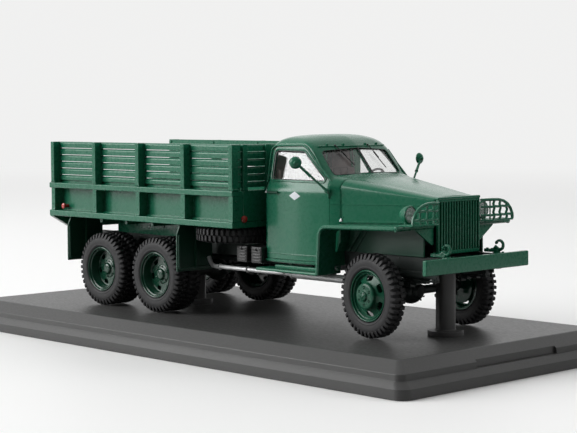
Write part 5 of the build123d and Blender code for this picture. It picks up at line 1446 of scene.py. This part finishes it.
dress("engine", DARK, 0.35, 3, extra=extra)
dress("plinth_screws", STEEL, 0.08)

# plain white diamond on each door
s = Shape()
for sgn in (-1, 1):
    outer, inner = [], []
    for i in range(9):
        row_a, row_b = [], []
        for j in range(9):
            u, v = (i / 8 - 0.5) * 2, (j / 8 - 0.5) * 2
            x, z = -29.7 + 2.15 * (u + v) / 2, 36.3 + 1.2 * (v - u) / 2
            row_a.append(on_side(sgn, x, z, 0.035))
            row_b.append(on_side(sgn, x, z, -0.03))
        outer.append(row_a); inner.append(row_b)
    sheet_between(s, outer, inner)
make("door_marks", s, WHITE, weights=False)

# ------------------------------------------------------------------ studio


def floor_material():
    m = bpy.data.materials.new("table_white")
    m.use_nodes = True
    nt = m.node_tree
    b = nt.nodes["Principled BSDF"]
    b.inputs["Roughness"].default_value = 0.55
    b.inputs["Specular IOR Level"].default_value = 0.25
    n = nt.nodes.new("ShaderNodeTexNoise")
    n.inputs["Scale"].default_value = 6
    mix = nt.nodes.new("ShaderNodeMix")
    mix.data_type = "RGBA"
    mix.inputs["A"].default_value = (0.93, 0.93, 0.925, 1)
    mix.inputs["B"].default_value = (0.95, 0.95, 0.945, 1)
    nt.links.new(n.outputs["Fac"], mix.inputs["Factor"])
    nt.links.new(mix.outputs["Result"], b.inputs["Base Color"])
    return m


def backdrop_material(fade):
    """Even pale paper: lit like the floor near the middle, and of its own even tone toward the edge."""
    m = floor_material() if fade else bpy.data.materials.new("studio_backdrop")
    m.use_nodes = True
    nt = m.node_tree
    glow = nt.nodes.new("ShaderNodeEmission")
    glow.inputs["Color"].default_value = (1.0, 1.0, 0.995, 1)
    glow.inputs["Strength"].default_value = 0.875
    out = nt.nodes["Material Output"]
    if not fade:
        nt.nodes.remove(nt.nodes["Principled BSDF"])
        nt.links.new(glow.outputs["Emission"], out.inputs["Surface"])
        return m
    geo = nt.nodes.new("ShaderNodeNewGeometry")
    dist = nt.nodes.new("ShaderNodeVectorMath")
    dist.operation = "LENGTH"
    nt.links.new(geo.outputs["Position"], dist.inputs[0])
    ramp = nt.nodes.new("ShaderNodeMapRange")
    ramp.interpolation_type = "SMOOTHSTEP"
    ramp.inputs["From Min"].default_value = 0.45
    ramp.inputs["From Max"].default_value = 1.5
    nt.links.new(dist.outputs["Value"], ramp.inputs["Value"])
    blend = nt.nodes.new("ShaderNodeMixShader")
    nt.links.new(ramp.outputs["Result"], blend.inputs["Fac"])
    nt.links.new(nt.nodes["Principled BSDF"].outputs["BSDF"], blend.inputs[1])
    nt.links.new(glow.outputs["Emission"], blend.inputs[2])
    nt.links.new(blend.outputs["Shader"], out.inputs["Surface"])
    return m


def turned(name, rows, mat):
    """Stage surface turned round the upright axis through the middle, from rows of radius and height."""
    t = bmesh.new()
    n = 96
    rings = []
    for r, z in rows:
        if r == 0:
            rings.append([t.verts.new((0, 0, z))])
        else:
            rings.append([t.verts.new((r * math.cos(k * math.tau / n), r * math.sin(k * math.tau / n), z)) for k in range(n)])
    for a, b in zip(rings, rings[1:]):
        for k in range(n):
            m = (k + 1) % n
            if len(a) == 1:
                t.faces.new((a[0], b[k], b[m]))
            else:
                t.faces.new((a[k], b[k], b[m], a[m]))
    bmesh.ops.recalc_face_normals(t, faces=t.faces)
    t.faces.ensure_lookup_table()
    if t.faces[0].normal.z < 0:
        bmesh.ops.reverse_faces(t, faces=t.faces)
    mesh = bpy.data.meshes.new(name)
    t.to_mesh(mesh)
    t.free()
    mesh.polygons.foreach_set("use_smooth", [True] * len(mesh.polygons))
    ob = bpy.data.objects.new(name, mesh)
    mesh.materials.append(mat)
    bpy.context.scene.collection.objects.link(ob)
    ob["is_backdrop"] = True
    return ob


floor = turned("studio_floor", [(0, -0.00005)] + [(r, -0.00005) for r in (0.3, 0.6, 1.0, 1.6)], backdrop_material(True))
dome = turned("studio_backdrop", [(1.6, -0.00005), (2.6, -0.00005)] + [
    (2.6 + math.sin(math.radians(a)), 1 - math.cos(math.radians(a))) for a in range(10, 91, 10)] + [(3.6, 4.0)], backdrop_material(False))
# the backdrop is only there to be seen: light comes past it from the world and the softboxes
dome.visible_diffuse = dome.visible_glossy = dome.visible_transmission = dome.visible_shadow = False
floor.visible_diffuse = False


def area(name, at, target, size_x, size_y, power, colour=(1, 1, 1)):
    lamp = bpy.data.lights.new(name, "AREA")
    lamp.shape, lamp.size, lamp.size_y = "RECTANGLE", size_x, size_y
    lamp.energy, lamp.color = power, colour
    ob = bpy.data.objects.new(name, lamp)
    d = Vector(target) - Vector(at)
    ob.matrix_world = Matrix.Translation(at) @ d.to_track_quat("-Z", "Y").to_matrix().to_4x4()
    bpy.context.scene.collection.objects.link(ob)
    return ob


def heading(az, el, dist):
    """Point at an azimuth measured from -Y toward -X, as seen from the truck."""
    a, e = math.radians(az), math.radians(el)
    return (-math.sin(a) * math.cos(e) * dist, -math.cos(a) * math.cos(e) * dist, math.sin(e) * dist)


area("left_softbox", heading(38, 26, 1.3), (0, 0, 0.04), 0.95, 0.85, 17)
area("back_softbox", (-0.85, 1.05, 0.52), (0, 0, 0.03), 1.3, 0.5, 0.9)
area("right_softbox", (1.0, 0.75, 0.5), (0, 0, 0.04), 0.5, 0.5, 4.4)
for lamp in [o for o in bpy.context.scene.objects if o.type == "LIGHT"]:
    lamp.visible_camera = False
    lamp.visible_glossy = lamp.name != "right_softbox"



def flag(name, a, b, z1, strength):
    """Grey card that only reflections see, standing on the floor beyond the plinth."""
    t = bmesh.new()
    n = 8
    low = [t.verts.new((lerp(a[0], b[0], k / n), lerp(a[1], b[1], k / n), 0.0)) for k in range(n + 1)]
    high = [t.verts.new((lerp(a[0], b[0], k / n), lerp(a[1], b[1], k / n), z1)) for k in range(n + 1)]
    for k in range(n):
        t.faces.new((low[k], low[k + 1], high[k + 1], high[k]))
    mesh = bpy.data.meshes.new(name)
    t.to_mesh(mesh)
    t.free()
    ob = bpy.data.objects.new(name, mesh)
    bpy.context.scene.collection.objects.link(ob)
    m = bpy.data.materials.new(name + "_paper")
    m.use_nodes = True
    nt = m.node_tree
    nt.nodes.remove(nt.nodes["Principled BSDF"])
    glow = nt.nodes.new("ShaderNodeEmission")
    glow.inputs["Color"].default_value = (1, 1, 1, 1)
    glow.inputs["Strength"].default_value = strength
    nt.links.new(glow.outputs["Emission"], nt.nodes["Material Output"].inputs["Surface"])
    mesh.materials.append(m)
    ob.visible_camera = ob.visible_diffuse = ob.visible_transmission = ob.visible_shadow = ob.visible_volume_scatter = False
    ob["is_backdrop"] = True


flag("near_flag", (-0.145, -0.26), (0.24, -0.30), 0.075, 0.05)
flag("right_flag", (0.12, 0.36), (0.42, 0.04), 0.20, 0.14)

# soft room light: bright overhead and behind, dim on the near side
world = bpy.data.worlds.new("studio")
bpy.context.scene.world = world
world.use_nodes = True
nt = world.node_tree
coords = nt.nodes.new("ShaderNodeTexCoord")
total = None
for toward, lo, hi, strength in (((0.0, 0.0, 1.0), 0.35, 0.9, 0.42), ((-0.72, 0.69, 0.0), 0.1, 0.75, 0.70), ((-0.9, -0.43, 0.0), 0.5, 0.9, 0.30)):
    dot = nt.nodes.new("ShaderNodeVectorMath")
    dot.operation = "DOT_PRODUCT"
    dot.inputs[1].default_value = toward
    nt.links.new(coords.outputs["Generated"], dot.inputs[0])
    lobe = nt.nodes.new("ShaderNodeMapRange")
    lobe.interpolation_type = "SMOOTHSTEP"
    lobe.inputs["From Min"].default_value = lo
    lobe.inputs["From Max"].default_value = hi
    lobe.inputs["To Max"].default_value = strength
    nt.links.new(dot.outputs["Value"], lobe.inputs["Value"])
    add = nt.nodes.new("ShaderNodeMath")
    add.operation = "ADD"
    add.inputs[1].default_value = 0.09
    nt.links.new(lobe.outputs["Result"], add.inputs[0])
    if total is not None:
        nt.links.new(total, add.inputs[1])
    total = add.outputs["Value"]
nt.nodes["Background"].inputs["Color"].default_value = (1, 1, 1, 1)
nt.links.new(total, nt.nodes["Background"].inputs["Strength"])

bpy.context.scene.view_settings.view_transform = "Standard"

# ------------------------------------------------------------------ camera
yaw, pitch_down, roll = math.radians(46.143), math.radians(3.805), math.radians(-0.245)
fwd = Vector((-math.sin(yaw) * math.cos(pitch_down), math.cos(yaw) * math.cos(pitch_down), -math.sin(pitch_down)))
right = Vector((math.cos(yaw), math.sin(yaw), 0))
up = right.cross(fwd)
r2 = right * math.cos(roll) + up * math.sin(roll)
u2 = -right * math.sin(roll) + up * math.cos(roll)
lens_data = bpy.data.cameras.new("photo_camera")
lens_data.sensor_width = 36
lens_data.sensor_fit = "HORIZONTAL"
lens_data.lens = 1562.98 / 577 * 36
lens_data.clip_start, lens_data.clip_end = 0.01, 50
camera = bpy.data.objects.new("photo_camera", lens_data)
camera.matrix_world = Matrix(((r2.x, u2.x, -fwd.x, 0.3377), (r2.y, u2.y, -fwd.y, -0.3150), (r2.z, u2.z, -fwd.z, 0.06775), (0, 0, 0, 1)))
bpy.context.scene.collection.objects.link(camera)
bpy.context.scene.camera = camera

({"cad": [list(map(float, v)) if hasattr(v, "__len__") else float(v) for v in LOADED],
           "visual": [list(map(float, v)) if hasattr(v, "__len__") else float(v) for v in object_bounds()]})
